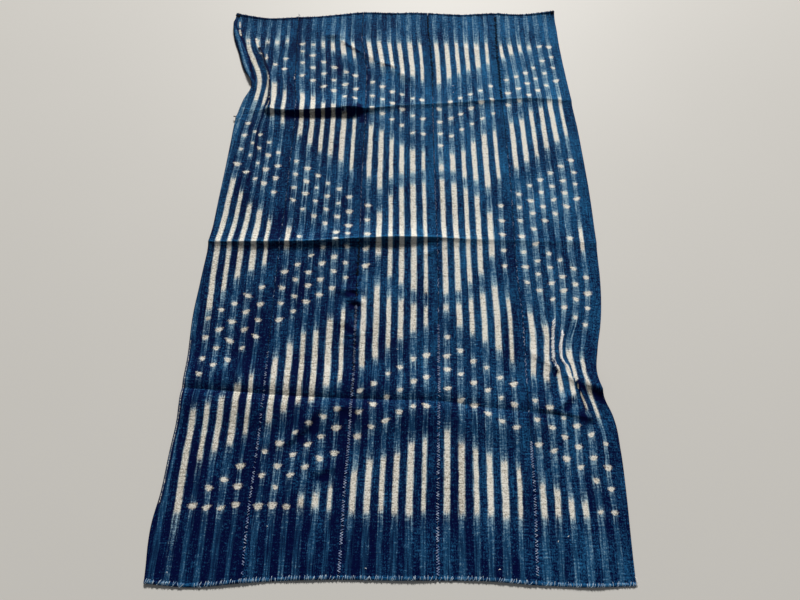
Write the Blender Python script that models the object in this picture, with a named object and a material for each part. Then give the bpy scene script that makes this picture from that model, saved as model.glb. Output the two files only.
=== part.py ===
"""Indigo cloth of five woven strips, laid flat with its storage folds still in it.

The floor is the plane z = 0. X runs across the strips and Y along them, away from the
near hem. Tables are in millimetres, read as a tape laid over the cloth would read: along
from the near hem, across from the middle of the near hem.
"""
from collections import namedtuple

import bmesh
import bpy
import numpy as np

MM = 0.001
STRIPS = 5
CLOTH_THICKNESS = 1.5
HEM_THICKNESS = 3.0
SEAM_GAP = 0.3
OUTER_STRIP_COLUMNS = 9
INNER_STRIP_COLUMNS = 6

# The outer edges and the four seams, read across the cloth at each section.
Section = namedtuple("Section", "along left seam_1 seam_2 seam_3 seam_4 right")
SECTIONS = (
    Section(0, -566, -344, -123, 106, 336, 564),
    Section(125, -571, -345, -119, 108, 343, 568),
    Section(190, -562, -343, -118, 110, 346, 571),
    Section(300, -555, -339, -112, 114, 348, 573),
    Section(390, -549, -336, -109, 117, 349, 566),
    Section(445, -549, -335, -107, 119, 350, 547),
    Section(499, -547, -335, -105, 120, 351, 538),
    Section(575, -549, -336, -106, 121, 353, 551),
    Section(650, -551, -336, -105, 122, 355, 569),
    Section(750, -546, -335, -105, 124, 351, 583),
    Section(900, -536, -332, -102, 124, 350, 590),
    Section(1100, -526, -327, -102, 122, 354, 592),
    Section(1250, -518, -326, -100, 121, 352, 588),
    Section(1340, -514, -324, -98, 121, 351, 585),
    Section(1425, -498, -326, -98, 121, 349, 579),
    Section(1496, -479, -334, -98, 122, 347, 575),
    Section(1551, -509, -337, -98, 122, 348, 572),
    Section(1631, -536, -341, -108, 119, 346, 567),
    Section(1701, -560, -342, -118, 115, 347, 564),
    Section(1751, -567, -343, -118, 112, 349, 564),
    Section(1832, -559, -345, -117, 111, 350, 561),
)

# The hems and the three storage folds, read along the cloth at each edge, each seam and
# the middle of each strip, with the height that the sheet stands up there.
STATIONS = np.arange(0, STRIPS + 0.5, 0.5)
Line = namedtuple("Line", "name level along height")
NEAR_HEM = Line(
    "near hem",
    0,
    (-4, -12, -3, 3, 5, 4, 4, 3, -5, -9, -6),
    (2, 0, 0, 0, 0, 0, 0, 0, 0, 0, 0),
)
QUARTER_FOLD = Line(
    "quarter fold",
    435,
    (456, 449, 441, 434, 430, 428, 426, 410, 398, 387, 380),
    (7, 8, 8, 8, 8, 7, 6.5, 5.5, 4, 3, 2.5),
)
HALF_FOLD = Line(
    "half fold",
    900,
    (888, 888, 889, 893, 901, 906, 908, 906, 905, 903, 900),
    (11, 14, 15, 16, 18, 19, 14, 7, 5, 4, 4),
)
THREE_QUARTER_FOLD = Line(
    "three-quarter fold",
    1400,
    (1385, 1381, 1373, 1381, 1388, 1405, 1413, 1424, 1437, 1443, 1436),
    (3, 12, 15, 19, 13, 7, 7, 7, 7, 7, 5),
)
FAR_HEM = Line(
    "far hem",
    1832,
    (1810, 1797, 1804, 1816, 1831, 1832, 1834, 1828, 1836, 1834, 1843),
    (7, 2, 1, 1, 2, 2, 1, 1, 3, 2, 12),
)
LINES = (NEAR_HEM, QUARTER_FOLD, HALF_FOLD, THREE_QUARTER_FOLD, FAR_HEM)
CLOTH_LENGTH = FAR_HEM.level
HEM_WIDTH = 9
HEM_EDGE = 3
HEM_LIFT_REACH = 55

# How far the sheet takes to come back down on each side of a storage fold.
HALF_FOLD_FAR_REACH = 75
HALF_FOLD_NEAR_REACH = 42
THREE_QUARTER_FOLD_FAR_REACH = 105
THREE_QUARTER_FOLD_NEAR_REACH = 34
QUARTER_FOLD_CREST = 30
QUARTER_FOLD_REACH = 105

# Wrinkles that mends and handling pull up, each a ridge between two points.
Wrinkle = namedtuple("Wrinkle", "name start end start_height end_height far_reach near_reach")
WRINKLES = (
    Wrinkle("swell beside the white mends", (466, 490), (566, 450), 5, 21, 150, 38),
    Wrinkle("ripple below the swell", (392, 405), (500, 384), 4, 6, 60, 24),
    Wrinkle("pleat along the black mend", (-478, 1662), (-416, 1500), 3, 4, 26, 22),
    Wrinkle("pleat below the black mend", (-416, 1500), (-410, 1395), 4, 8, 24, 22),
    Wrinkle("turned edge at the far left", (-566, 1762), (-484, 1508), 9, 8, 30, 24),
    Wrinkle("knot in the left edge", (-520, 1352), (-500, 1340), 7, 3, 24, 20),
    Wrinkle("long crease at the far end", (-212, 1706), (28, 1528), 4, 4, 70, 34),
    Wrinkle("short crease at the near end", (-246, 334), (-204, 392), 4, 4, 50, 28),
    Wrinkle("pucker at the second seam", (-150, 738), (-104, 706), 3, 4, 26, 18),
    Wrinkle("lower pucker at the second seam", (-146, 640), (-104, 612), 3, 4, 26, 18),
    Wrinkle("pucker at the third seam", (104, 862), (150, 884), 5, 3, 26, 18),
)
WRINKLE_FADE = 34

# Rows of the mesh: close together where the sheet bends, far apart where it lies flat.
HALF_FOLD_ROWS = (-44, -31, -20, -10, 0, 14, 30, 50, 76)
THREE_QUARTER_FOLD_ROWS = (-36, -25, -16, -8, 0, 14, 30, 52, 80)
QUARTER_FOLD_ROWS = (-105, -70, -45, -30, -15, 0, 15, 30, 50, 68, 88, 108)
PLAIN_ROWS = (
    (70, 140, 200, 250, 290)
    + (585, 630, 680, 720, 765, 810)
    + (1040, 1110, 1180, 1240, 1290, 1335)
    + (1505, 1535, 1570, 1610, 1650, 1690, 1725, 1760, 1792)
)


def smooth(at, stations, readings):
    """Read a table with a smooth curve through its entries."""
    stations = np.asarray(stations, dtype=float)
    readings = np.asarray(readings, dtype=float)
    slopes = np.gradient(readings, stations)
    first = np.clip(np.searchsorted(stations, at) - 1, 0, len(stations) - 2)
    span = stations[first + 1] - stations[first]
    part = np.clip((at - stations[first]) / span, 0, 1)
    rise = part * part * (3 - 2 * part)
    start_pull = part * (1 - part) ** 2 * span * slopes[first]
    end_pull = -part * part * (1 - part) * span * slopes[first + 1]
    return readings[first] * (1 - rise) + readings[first + 1] * rise + start_pull + end_pull


def flank(distance, reach):
    """Fall from 1 at a crest to 0 at its foot, steepest at the crest."""
    return np.clip(1 - distance / reach, 0, 1) ** 2


def ridge(distance, far_reach, near_reach):
    """A sharp fold: distance is positive on its far side."""
    return np.where(distance > 0, flank(distance, far_reach), flank(-distance, near_reach))


def trough(distance, crest, reach):
    """A crease pressed down to the floor between two low crests."""
    distance = np.abs(distance)
    rise = 1 - (1 - np.clip(distance / crest, 0, 1)) ** 2
    fall = np.clip((distance - crest) / (reach - crest), 0, 1)
    return rise * (1 - fall * fall) ** 2


def wrinkle_height(wrinkle, x, y):
    """Height of one straight ridge that fades out past both of its ends."""
    start = np.array(wrinkle.start, dtype=float)
    run = np.array(wrinkle.end, dtype=float) - start
    length = np.hypot(*run)
    run /= length
    along = (x - start[0]) * run[0] + (y - start[1]) * run[1]
    aside = (y - start[1]) * run[0] - (x - start[0]) * run[1]
    past_end = np.maximum(-along, along - length)
    fade = (1 - np.clip(past_end / WRINKLE_FADE, 0, 1) ** 2) ** 2
    part = np.clip(along / length, 0, 1)
    height = wrinkle.start_height * (1 - part) + wrinkle.end_height * part
    return height * fade * ridge(aside, wrinkle.far_reach, wrinkle.near_reach)


def along_cloth(across, level):
    """Tape reading along the cloth; across counts strips, level counts along the weave."""
    levels = [line.level for line in LINES]
    reading = np.array(level, dtype=float)
    for index, line in enumerate(LINES):
        weight = np.interp(level, levels, np.eye(len(LINES))[index])
        reading += weight * (smooth(across, STATIONS, line.along) - line.level)
    return reading


def across_cloth(strip, across, along):
    """Tape reading across the cloth, with a stitched seam's gap between neighbours."""
    readings = np.array(SECTIONS, dtype=float)
    left = smooth(along, readings[:, 0], readings[:, 1 + strip])
    right = smooth(along, readings[:, 0], readings[:, 2 + strip])
    left += SEAM_GAP / 2 if strip > 0 else 0
    right -= SEAM_GAP / 2 if strip < STRIPS - 1 else 0
    return left + (right - left) * (across - strip)


def cloth_height(across, level, x, y):
    """Height of the sheet's underside over the floor."""
    half = y - smooth(across, STATIONS, HALF_FOLD.along)
    half_height = smooth(across, STATIONS, HALF_FOLD.height)
    height = half_height * ridge(half, HALF_FOLD_FAR_REACH, HALF_FOLD_NEAR_REACH)
    high = y - smooth(across, STATIONS, THREE_QUARTER_FOLD.along)
    high_height = smooth(across, STATIONS, THREE_QUARTER_FOLD.height)
    height += high_height * ridge(
        high, THREE_QUARTER_FOLD_FAR_REACH, THREE_QUARTER_FOLD_NEAR_REACH
    )
    low = y - smooth(across, STATIONS, QUARTER_FOLD.along)
    low_height = smooth(across, STATIONS, QUARTER_FOLD.height)
    height += low_height * trough(low, QUARTER_FOLD_CREST, QUARTER_FOLD_REACH)
    for wrinkle in WRINKLES:
        height += wrinkle_height(wrinkle, x, y)
    for hem in (NEAR_HEM, FAR_HEM):
        lift = np.clip(smooth(across, STATIONS, hem.height), 0, None)
        height += lift * flank(np.abs(level - hem.level), HEM_LIFT_REACH)
    return height


def row_levels():
    """Levels of the mesh's rows, from the near hem to the far hem."""
    hem_rows = (0, HEM_WIDTH, HEM_WIDTH + HEM_EDGE)
    rows = set(hem_rows) | {CLOTH_LENGTH - row for row in hem_rows}
    rows |= {QUARTER_FOLD.level + step for step in QUARTER_FOLD_ROWS}
    rows |= {HALF_FOLD.level + step for step in HALF_FOLD_ROWS}
    rows |= {THREE_QUARTER_FOLD.level + step for step in THREE_QUARTER_FOLD_ROWS}
    rows |= set(PLAIN_ROWS)
    return np.array(sorted(rows), dtype=float)


def strip_surface(strip):
    """Underside of one strip as arrays of x, y and z, a row of the mesh to each row."""
    outer = strip in (0, STRIPS - 1)
    columns = OUTER_STRIP_COLUMNS if outer else INNER_STRIP_COLUMNS
    across, level = np.meshgrid(strip + np.linspace(0, 1, columns + 1), row_levels())
    y = along_cloth(across, level)
    x = across_cloth(strip, across, y)
    return x, y, cloth_height(across, level, x, y)


def thickness_at(level):
    """The sheet is doubled where its ends are rolled into hems."""
    in_hem = (level <= HEM_WIDTH) | (level >= CLOTH_LENGTH - HEM_WIDTH)
    return HEM_THICKNESS if in_hem else CLOTH_THICKNESS


def build_strip(name, surface, middle, material, collection):
    """Lay a grid along one strip, then thicken it upwards into a closed sheet."""
    x, y, z = surface
    rows, columns = (size - 1 for size in x.shape)
    levels = row_levels()
    model = bmesh.new()
    bmesh.ops.create_grid(model, x_segments=columns, y_segments=rows, size=0.5)
    rise = {}
    for vertex in model.verts:
        column = round((vertex.co.x + 0.5) * columns)
        row = round((vertex.co.y + 0.5) * rows)
        place = (x[row, column] - middle[0], y[row, column] - middle[1], z[row, column])
        vertex.co = [value * MM for value in place]
        rise[tuple(vertex.co)] = thickness_at(levels[row]) * MM
    bmesh.ops.triangulate(model, faces=model.faces[:])
    thick = bmesh.ops.extrude_face_region(model, geom=model.faces[:], use_keep_orig=True)
    for item in thick["geom"]:
        if isinstance(item, bmesh.types.BMVert):
            item.co.z += rise[tuple(item.co)]
    bmesh.ops.recalc_face_normals(model, faces=model.faces[:])
    mesh = bpy.data.meshes.new(name)
    model.to_mesh(mesh)
    model.free()
    mesh.materials.append(material)
    strip = bpy.data.objects.new(name, mesh)
    collection.objects.link(strip)
    return strip


def indigo_cotton():
    """Hand-woven cotton, dyed dark blue, with a dull surface."""
    material = bpy.data.materials.new("indigo cotton")
    material.use_nodes = True
    shader = material.node_tree.nodes["Principled BSDF"]
    shader.inputs["Base Color"].default_value = (0.016, 0.052, 0.133, 1)
    shader.inputs["Roughness"].default_value = 0.9
    shader.inputs["Metallic"].default_value = 0
    return material


def main():
    for old in list(bpy.data.objects):
        bpy.data.objects.remove(old)
    collection = bpy.data.collections.new("indigo cloth")
    bpy.context.scene.collection.children.link(collection)
    material = indigo_cotton()
    surfaces = [strip_surface(strip) for strip in range(STRIPS)]
    middle = [
        (min(surface[axis].min() for surface in surfaces)
         + max(surface[axis].max() for surface in surfaces)) / 2
        for axis in (0, 1)
    ]
    for strip, surface in enumerate(surfaces):
        build_strip(f"strip_{strip + 1}", surface, middle, material, collection)


main()
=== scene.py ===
# %% [markdown]
# # A resist-dyed indigo cloth laid out on a floor
# The real cloth is five long strips of hand-woven cotton sewn edge to edge. Its warp threads
# were tied in bundles before they were dyed in indigo, so the tied parts stayed cream and
# show as rows of bars and dots on pale blue stripes. It lies flat, with the folds of long
# storage still in it. This file dresses the five solids of the imported model: each gets a
# finer sheet with the same folds, then its dye, its weave, its sewing and its mends.
#
# ## Load the imported model
# The solids come in metres and never move.

# %% Load the imported model
import math
from collections import namedtuple

import bmesh
import bpy
import numpy as np
from mathutils import Matrix


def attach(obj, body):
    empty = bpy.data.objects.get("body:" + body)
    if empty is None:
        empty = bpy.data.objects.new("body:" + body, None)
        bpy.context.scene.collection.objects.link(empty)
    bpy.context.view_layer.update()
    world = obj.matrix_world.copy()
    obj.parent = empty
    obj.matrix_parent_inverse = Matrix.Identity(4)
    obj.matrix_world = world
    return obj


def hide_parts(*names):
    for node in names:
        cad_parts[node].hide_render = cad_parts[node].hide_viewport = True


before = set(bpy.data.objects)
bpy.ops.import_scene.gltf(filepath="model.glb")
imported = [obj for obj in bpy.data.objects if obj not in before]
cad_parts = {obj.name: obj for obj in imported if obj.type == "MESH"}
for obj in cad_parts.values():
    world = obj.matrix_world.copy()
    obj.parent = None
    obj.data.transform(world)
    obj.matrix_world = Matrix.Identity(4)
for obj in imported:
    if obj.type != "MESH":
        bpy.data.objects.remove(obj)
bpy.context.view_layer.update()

# %% [markdown]
# ## The camera
# The picture was taken by someone standing at the near hem and looking down, with a wide
# lens. Three turns place such a camera: how far it looks down, how far it faces to the
# right of straight along the cloth, and a small roll. Its place is above the near hem.

# %% The camera
CAMERA_PLACE = (-0.01375, -0.8945, 1.52448)
LOOKS_DOWN = 65.565
FACES_RIGHT = 1.613
ROLL = 1.993

camera_lens = bpy.data.cameras.new("camera")
camera_lens.lens = 27
camera_lens.sensor_width = 36
camera = bpy.data.objects.new("camera", camera_lens)
camera.matrix_world = (
    Matrix.Translation(CAMERA_PLACE)
    @ Matrix.Rotation(math.radians(-FACES_RIGHT), 4, "Z")
    @ Matrix.Rotation(math.radians(90 - LOOKS_DOWN), 4, "X")
    @ Matrix.Rotation(math.radians(ROLL), 4, "Z")
)
bpy.context.scene.collection.objects.link(camera)
bpy.context.scene.camera = camera
print("camera at", tuple(camera.location))

# %% [markdown]
# ## Colours and nodes
# Colours are written as they look on a screen and turned into the linear light that a
# shader works in. Every material is a small net of nodes, so one helper adds a node, sets
# it and joins what feeds it.

# %% Two helpers
def linear(hex_colour):
    """Turn a screen colour such as #1E3A5F into linear red, green, blue and alpha."""
    channels = [int(hex_colour[place:place + 2], 16) / 255 for place in (1, 3, 5)]
    return [
        level / 12.92 if level <= 0.04045 else ((level + 0.055) / 1.055) ** 2.4
        for level in channels
    ] + [1]


def node(tree, kind, inputs, **settings):
    """Add a node: an input is joined if it is a socket and set if it is a value."""
    made = tree.nodes.new(kind)
    for name, value in settings.items():
        setattr(made, name, value)
    for name, value in inputs.items():
        if isinstance(value, bpy.types.NodeSocket):
            tree.links.new(value, made.inputs[name])
        else:
            made.inputs[name].default_value = value
    return made


def new_material(name):
    """A material with nodes, and its own shader."""
    material = bpy.data.materials.new(name)
    material.use_nodes = True
    return material, material.node_tree, material.node_tree.nodes["Principled BSDF"]


print("white is", linear("#FFFFFF"))

# %% [markdown]
# ## The room
# A plain pale floor, light from a wide window far beyond the far hem, and a little light
# from all round. The window is low enough that each fold is bright on its far side and
# dark on its near side, and far enough that both ends of the cloth get about as much.

# %% The room
FLOOR_SIZE = 16
FLOOR_COLOUR = "#DAD7D1"
WINDOW_PLACE = (1.6, 20.5, 13.2)
WINDOW_SIZE = (5.5, 3.9)
WINDOW_POWER = 8000
ROOM_LIGHT = 0.14

floor_material, floor_tree, floor_shader = new_material("matt_floor_paint")
floor_place = node(floor_tree, "ShaderNodeTexCoord", {})
floor_cloud = node(
    floor_tree,
    "ShaderNodeTexNoise",
    {"Vector": floor_place.outputs["Object"], "Scale": 1.4, "Detail": 3},
)
floor_tint = node(
    floor_tree,
    "ShaderNodeMix",
    {0: floor_cloud.outputs[0], 6: linear("#D6D3CD"), 7: linear(FLOOR_COLOUR)},
    data_type="RGBA",
)
floor_tree.links.new(floor_tint.outputs[2], floor_shader.inputs["Base Color"])
floor_shader.inputs["Roughness"].default_value = 0.6

floor_model = bmesh.new()
bmesh.ops.create_grid(floor_model, x_segments=1, y_segments=1, size=FLOOR_SIZE / 2)
floor_mesh = bpy.data.meshes.new("floor")
floor_model.to_mesh(floor_mesh)
floor_model.free()
floor_mesh.materials.append(floor_material)
floor = bpy.data.objects.new("floor", floor_mesh)
bpy.context.scene.collection.objects.link(floor)

window = bpy.data.lights.new("window", "AREA")
window.shape = "RECTANGLE"
window.size, window.size_y = WINDOW_SIZE
window.energy = WINDOW_POWER
window.color = (1.0, 0.985, 0.96)
window_object = bpy.data.objects.new("window", window)
facing = Matrix.Translation(WINDOW_PLACE).to_translation() * -1
window_object.matrix_world = (
    Matrix.Translation(WINDOW_PLACE) @ facing.to_track_quat("-Z", "Y").to_matrix().to_4x4()
)
bpy.context.scene.collection.objects.link(window_object)

room = bpy.data.worlds.new("room")
room.use_nodes = True
room.node_tree.nodes["Background"].inputs["Color"].default_value = linear("#E9EDF2")
room.node_tree.nodes["Background"].inputs["Strength"].default_value = ROOM_LIGHT
bpy.context.scene.world = room
bpy.context.scene.view_settings.view_transform = "Standard"
print("floor", FLOOR_SIZE, "m across, window", WINDOW_SIZE)

# %% [markdown]
# ## Where the cloth lies
# These are the readings that its solids were built from, in millimetres, as a tape laid
# over the cloth would give them: along from the near hem, and across from the middle of
# the near hem. Repeating them here lets the fine sheet follow its solid. It lies about two
# millimetres above it, and up to eleven where sewing pinches the cloth.

# %% Readings along and across the cloth
MM = 0.001
MIDDLE = (10.72960191, 915.57133059)
STRIPS = 5
STRIP_WIDTH = 226
CLOTH_THICKNESS = 1.5
HEM_THICKNESS = 3.0
SEAM_GAP = 0.3

Section = namedtuple("Section", "along left seam_1 seam_2 seam_3 seam_4 right")
SECTIONS = np.array((
    Section(0, -566, -344, -123, 106, 336, 564),
    Section(125, -571, -345, -119, 108, 343, 568),
    Section(190, -562, -343, -118, 110, 346, 571),
    Section(300, -555, -339, -112, 114, 348, 573),
    Section(390, -549, -336, -109, 117, 349, 566),
    Section(445, -549, -335, -107, 119, 350, 547),
    Section(499, -547, -335, -105, 120, 351, 538),
    Section(575, -549, -336, -106, 121, 353, 551),
    Section(650, -551, -336, -105, 122, 355, 569),
    Section(750, -546, -335, -105, 124, 351, 583),
    Section(900, -536, -332, -102, 124, 350, 590),
    Section(1100, -526, -327, -102, 122, 354, 592),
    Section(1250, -518, -326, -100, 121, 352, 588),
    Section(1340, -514, -324, -98, 121, 351, 585),
    Section(1425, -498, -326, -98, 121, 349, 579),
    Section(1496, -479, -334, -98, 122, 347, 575),
    Section(1551, -509, -337, -98, 122, 348, 572),
    Section(1631, -536, -341, -108, 119, 346, 567),
    Section(1701, -560, -342, -118, 115, 347, 564),
    Section(1751, -567, -343, -118, 112, 349, 564),
    Section(1832, -559, -345, -117, 111, 350, 561),
), dtype=float)

STATIONS = np.arange(0, STRIPS + 0.5, 0.5)
Line = namedtuple("Line", "name level along height")
NEAR_HEM = Line(
    "near hem",
    0,
    (-4, -12, -3, 3, 5, 4, 4, 3, -5, -9, -6),
    (2, 0, 0, 0, 0, 0, 0, 0, 0, 0, 0),
)
QUARTER_FOLD = Line(
    "quarter fold",
    435,
    (456, 449, 441, 434, 430, 428, 426, 410, 398, 387, 380),
    (7, 8, 8, 8, 8, 7, 6.5, 5.5, 4, 3, 2.5),
)
HALF_FOLD = Line(
    "half fold",
    900,
    (888, 888, 889, 893, 901, 906, 908, 906, 905, 903, 900),
    (11, 14, 15, 16, 18, 19, 14, 7, 5, 4, 4),
)
THREE_QUARTER_FOLD = Line(
    "three-quarter fold",
    1400,
    (1385, 1381, 1373, 1381, 1388, 1405, 1413, 1424, 1437, 1443, 1436),
    (3, 12, 15, 19, 13, 7, 7, 7, 7, 7, 5),
)
FAR_HEM = Line(
    "far hem",
    1832,
    (1810, 1797, 1804, 1816, 1831, 1832, 1834, 1828, 1836, 1834, 1843),
    (7, 2, 1, 1, 2, 2, 1, 1, 3, 2, 12),
)
LINES = (NEAR_HEM, QUARTER_FOLD, HALF_FOLD, THREE_QUARTER_FOLD, FAR_HEM)
CLOTH_LENGTH = FAR_HEM.level
HEM_WIDTH = 9
HEM_LIFT_REACH = 55
HALF_FOLD_FAR_REACH = 75
HALF_FOLD_NEAR_REACH = 42
THREE_QUARTER_FOLD_FAR_REACH = 105
THREE_QUARTER_FOLD_NEAR_REACH = 34
QUARTER_FOLD_CREST = 30
QUARTER_FOLD_REACH = 105
FOLD_START = (-440, -404)
LOW_FOLD_SHARE = 0.3
FOLD_END = (380, 470)
LAST_FOLD_SHARE = 0.35
print(len(SECTIONS), "sections,", len(LINES), "lines across")

# %% [markdown]
# ## Wrinkles
# Each wrinkle is a soft ridge between two points that fades past its ends. The first
# table repeats the large ones that the solids have. The second adds what the solids leave
# out: tucks and pinches that the sewing and the mends pull up, dents and hollows from
# handling, and the sharp parts of the long creases. Two rows are grooves, pressed down.

# %% Wrinkles
Wrinkle = namedtuple("Wrinkle", "name start end start_height end_height far_reach near_reach")
WRINKLES = (
    Wrinkle("swell beside the white mends", (466, 490), (566, 450), 5, 21, 150, 38),
    Wrinkle("ripple below the swell", (392, 405), (500, 384), 4, 6, 60, 24),
    Wrinkle("pleat along the black mend", (-478, 1662), (-416, 1500), 3, 4, 26, 22),
    Wrinkle("pleat below the black mend", (-416, 1500), (-410, 1395), 4, 8, 24, 22),
    Wrinkle("turned edge at the far left", (-566, 1762), (-484, 1508), 9, 8, 30, 24),
    Wrinkle("knot in the left edge", (-520, 1352), (-500, 1340), 7, 3, 24, 20),
    Wrinkle("long crease at the far end", (-212, 1706), (28, 1528), 4, 4, 70, 34),
    Wrinkle("short crease at the near end", (-246, 334), (-204, 392), 4, 4, 50, 28),
    Wrinkle("pucker at the second seam", (-150, 738), (-104, 706), 3, 4, 26, 18),
    Wrinkle("lower pucker at the second seam", (-146, 640), (-104, 612), 3, 4, 26, 18),
    Wrinkle("pucker at the third seam", (104, 862), (150, 884), 5, 3, 26, 18),
)
SMALL_WRINKLES = (
    Wrinkle("first tuck under white stitches", (436, 640), (428, 530), 2.2, 3.4, 7, 7),
    Wrinkle("second tuck under white stitches", (457, 612), (449, 540), 2.2, 3.4, 7, 7),
    Wrinkle("pinch where the stitches end", (428, 532), (436, 500), 3.4, 2.0, 7, 6),
    Wrinkle("pinch beside it", (449, 540), (462, 516), 3.4, 2.0, 7, 6),
    Wrinkle("tuck below the white mends", (436, 512), (482, 474), 1.6, 3.0, 9, 12),
    Wrinkle("tuck to the fold", (481, 482), (500, 408), 2.0, 1.4, 9, 7),
    Wrinkle("tuck under black stitches", (-466, 1648), (-428, 1546), 3.2, 3.4, 6, 7),
    Wrinkle("tuck below black stitches", (-428, 1546), (-413, 1440), 3.4, 3.6, 7, 7),
    Wrinkle("groove beside the turned edge", (-544, 1728), (-500, 1622), -4.0, -4.0, 7, 6),
    Wrinkle("end of that groove", (-500, 1622), (-474, 1516), -4.0, -3.0, 7, 6),
    Wrinkle("roll at the left edge", (-562, 1728), (-488, 1512), 3.0, 3.0, 9, 7),
    Wrinkle("roll below the gather", (-488, 1500), (-514, 1372), 2.5, 2.0, 8, 6),
    Wrinkle("gather below the far left edge", (-470, 1496), (-500, 1372), 2.6, 1.4, 9, 8),
    Wrinkle("edge roll below the knot", (-512, 1330), (-520, 1180), 2.0, 0.8, 8, 6),
    Wrinkle("crease at the far middle", (-24, 1580), (34, 1532), 1.6, 1.2, 12, 8),
    Wrinkle("crease at the far right", (205, 1678), (300, 1652), 1.4, 1.2, 14, 9),
    Wrinkle("pucker beside the fourth seam", (330, 1640), (372, 1604), 1.8, 2.2, 14, 10),
    Wrinkle("upper pucker at the fourth seam", (336, 1752), (380, 1722), 1.6, 2.0, 14, 10),
    Wrinkle("pucker at the second seam, far side", (-104, 806), (-66, 822), 2.0, 1.2, 12, 9),
    Wrinkle("short gather at the second seam", (-138, 584), (-104, 566), 2.0, 2.2, 12, 9),
    Wrinkle("soft line from the long crease", (24, 1532), (96, 1462), 1.2, 1.0, 18, 12),
    Wrinkle("sharp part of the long crease", (-176, 1680), (-142, 1652), 2.6, 2.8, 22, 7),
    Wrinkle("middle of the long crease", (-112, 1632), (-80, 1612), 1.8, 2.0, 22, 7),
    Wrinkle("sharp end of the long crease", (-44, 1588), (-8, 1574), 3.0, 3.0, 22, 6),
    Wrinkle("last bit of the long crease", (14, 1546), (26, 1536), 2.0, 1.8, 18, 6),
    Wrinkle("hollow at the start of the long crease", (-232, 1714), (-206, 1714), 5, 5, 60, 28),
    Wrinkle("upper pinch at the second seam", (-132, 741), (-116, 739), 5.0, 5.4, 30, 17),
    Wrinkle("second pinch at the second seam", (-116, 706), (-108, 704), 4.4, 4.6, 22, 15),
    Wrinkle("third pinch at the second seam", (-130, 644), (-114, 632), 4.2, 4.8, 26, 14),
    Wrinkle("low pinch at the second seam", (-126, 604), (-120, 602), 3.6, 3.6, 20, 13),
    Wrinkle("hollow beside the second seam", (-132, 405), (-108, 404), 5.4, 5.4, 70, 30),
    Wrinkle("dent in the middle of strip 2", (-207, 372), (-192, 394), 4.6, 4.6, 44, 20),
    Wrinkle("dent to the left of it", (-238, 338), (-228, 344), 4.0, 4.0, 40, 19),
    Wrinkle("lower dent at the second seam", (-182, 248), (-162, 252), 4.4, 4.4, 54, 26),
    Wrinkle("dent by the near bars of strip 1", (-276, 314), (-262, 318), 3.6, 3.6, 40, 20),
    Wrinkle("crease up to the white mends", (380, 550), (428, 518), 4.4, 4.0, 44, 22),
    Wrinkle("crease below the swell", (434, 416), (462, 438), 5.0, 4.4, 34, 22),
    Wrinkle("end of the three-quarter fold", (-166, 1388), (-134, 1382), 5, 8, 60, 38),
)
WRINKLE_FADE = 34
print(len(WRINKLES), "large and", len(SMALL_WRINKLES), "small wrinkles")

# %% [markdown]
# ## Shape of the sheet
# These functions turn the readings into a surface. A point is named by how many strips
# it is across and by its level along the weave, and gets its place on the floor and its
# height. The crest of each fold is eased a little, because cotton never creases to an edge,
# and the near flank drops more steeply than the far one, as it does after years of folding.

# %% Shape of the sheet
CREST_EASE = 1.5
FAR_FLANK_POWER = 2
NEAR_FLANK_POWER = 3


def smooth(at, stations, readings):
    """Read a table with a smooth curve through its entries."""
    stations = np.asarray(stations, dtype=float)
    readings = np.asarray(readings, dtype=float)
    slopes = np.gradient(readings, stations)
    first = np.clip(np.searchsorted(stations, at) - 1, 0, len(stations) - 2)
    span = stations[first + 1] - stations[first]
    part = np.clip((at - stations[first]) / span, 0, 1)
    rise = part * part * (3 - 2 * part)
    start_pull = part * (1 - part) ** 2 * span * slopes[first]
    end_pull = -part * part * (1 - part) * span * slopes[first + 1]
    return readings[first] * (1 - rise) + readings[first + 1] * rise + start_pull + end_pull


def step(value, low, high):
    """Rise smoothly from 0 at low to 1 at high."""
    part = np.clip((value - low) / (high - low), 0, 1)
    return part * part * (3 - 2 * part)


def flank(distance, reach, power=FAR_FLANK_POWER):
    """Fall from 1 at a crest to 0 at its foot, steepest at the crest."""
    return np.clip(1 - distance / reach, 0, 1) ** power


def ridge(distance, far_reach, near_reach):
    """A fold with an eased crest: distance is positive on its far side."""
    eased = np.hypot(distance, CREST_EASE) - CREST_EASE
    near_flank = flank(eased, near_reach, NEAR_FLANK_POWER)
    return np.where(distance > 0, flank(eased, far_reach), near_flank)


def trough(distance, crest, reach):
    """A crease pressed down to the floor between two low crests."""
    distance = np.abs(distance)
    rise = 1 - (1 - np.clip(distance / crest, 0, 1)) ** 2
    fall = np.clip((distance - crest) / (reach - crest), 0, 1)
    return rise * (1 - fall * fall) ** 2


def wrinkle_height(wrinkle, x, y):
    """Height of one straight ridge that fades out past both of its ends."""
    start = np.array(wrinkle.start, dtype=float)
    run = np.array(wrinkle.end, dtype=float) - start
    length = np.hypot(*run)
    run /= length
    along = (x - start[0]) * run[0] + (y - start[1]) * run[1]
    aside = (y - start[1]) * run[0] - (x - start[0]) * run[1]
    past_end = np.maximum(-along, along - length)
    fade = (1 - np.clip(past_end / WRINKLE_FADE, 0, 1) ** 2) ** 2
    part = np.clip(along / length, 0, 1)
    height = wrinkle.start_height * (1 - part) + wrinkle.end_height * part
    return height * fade * ridge(aside, wrinkle.far_reach, wrinkle.near_reach)


def along_cloth(across, level):
    """Tape reading along the cloth."""
    levels = [line.level for line in LINES]
    reading = np.array(level, dtype=float)
    for index, line in enumerate(LINES):
        weight = np.interp(level, levels, np.eye(len(LINES))[index])
        reading = reading + weight * (smooth(across, STATIONS, line.along) - line.level)
    return reading


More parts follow.
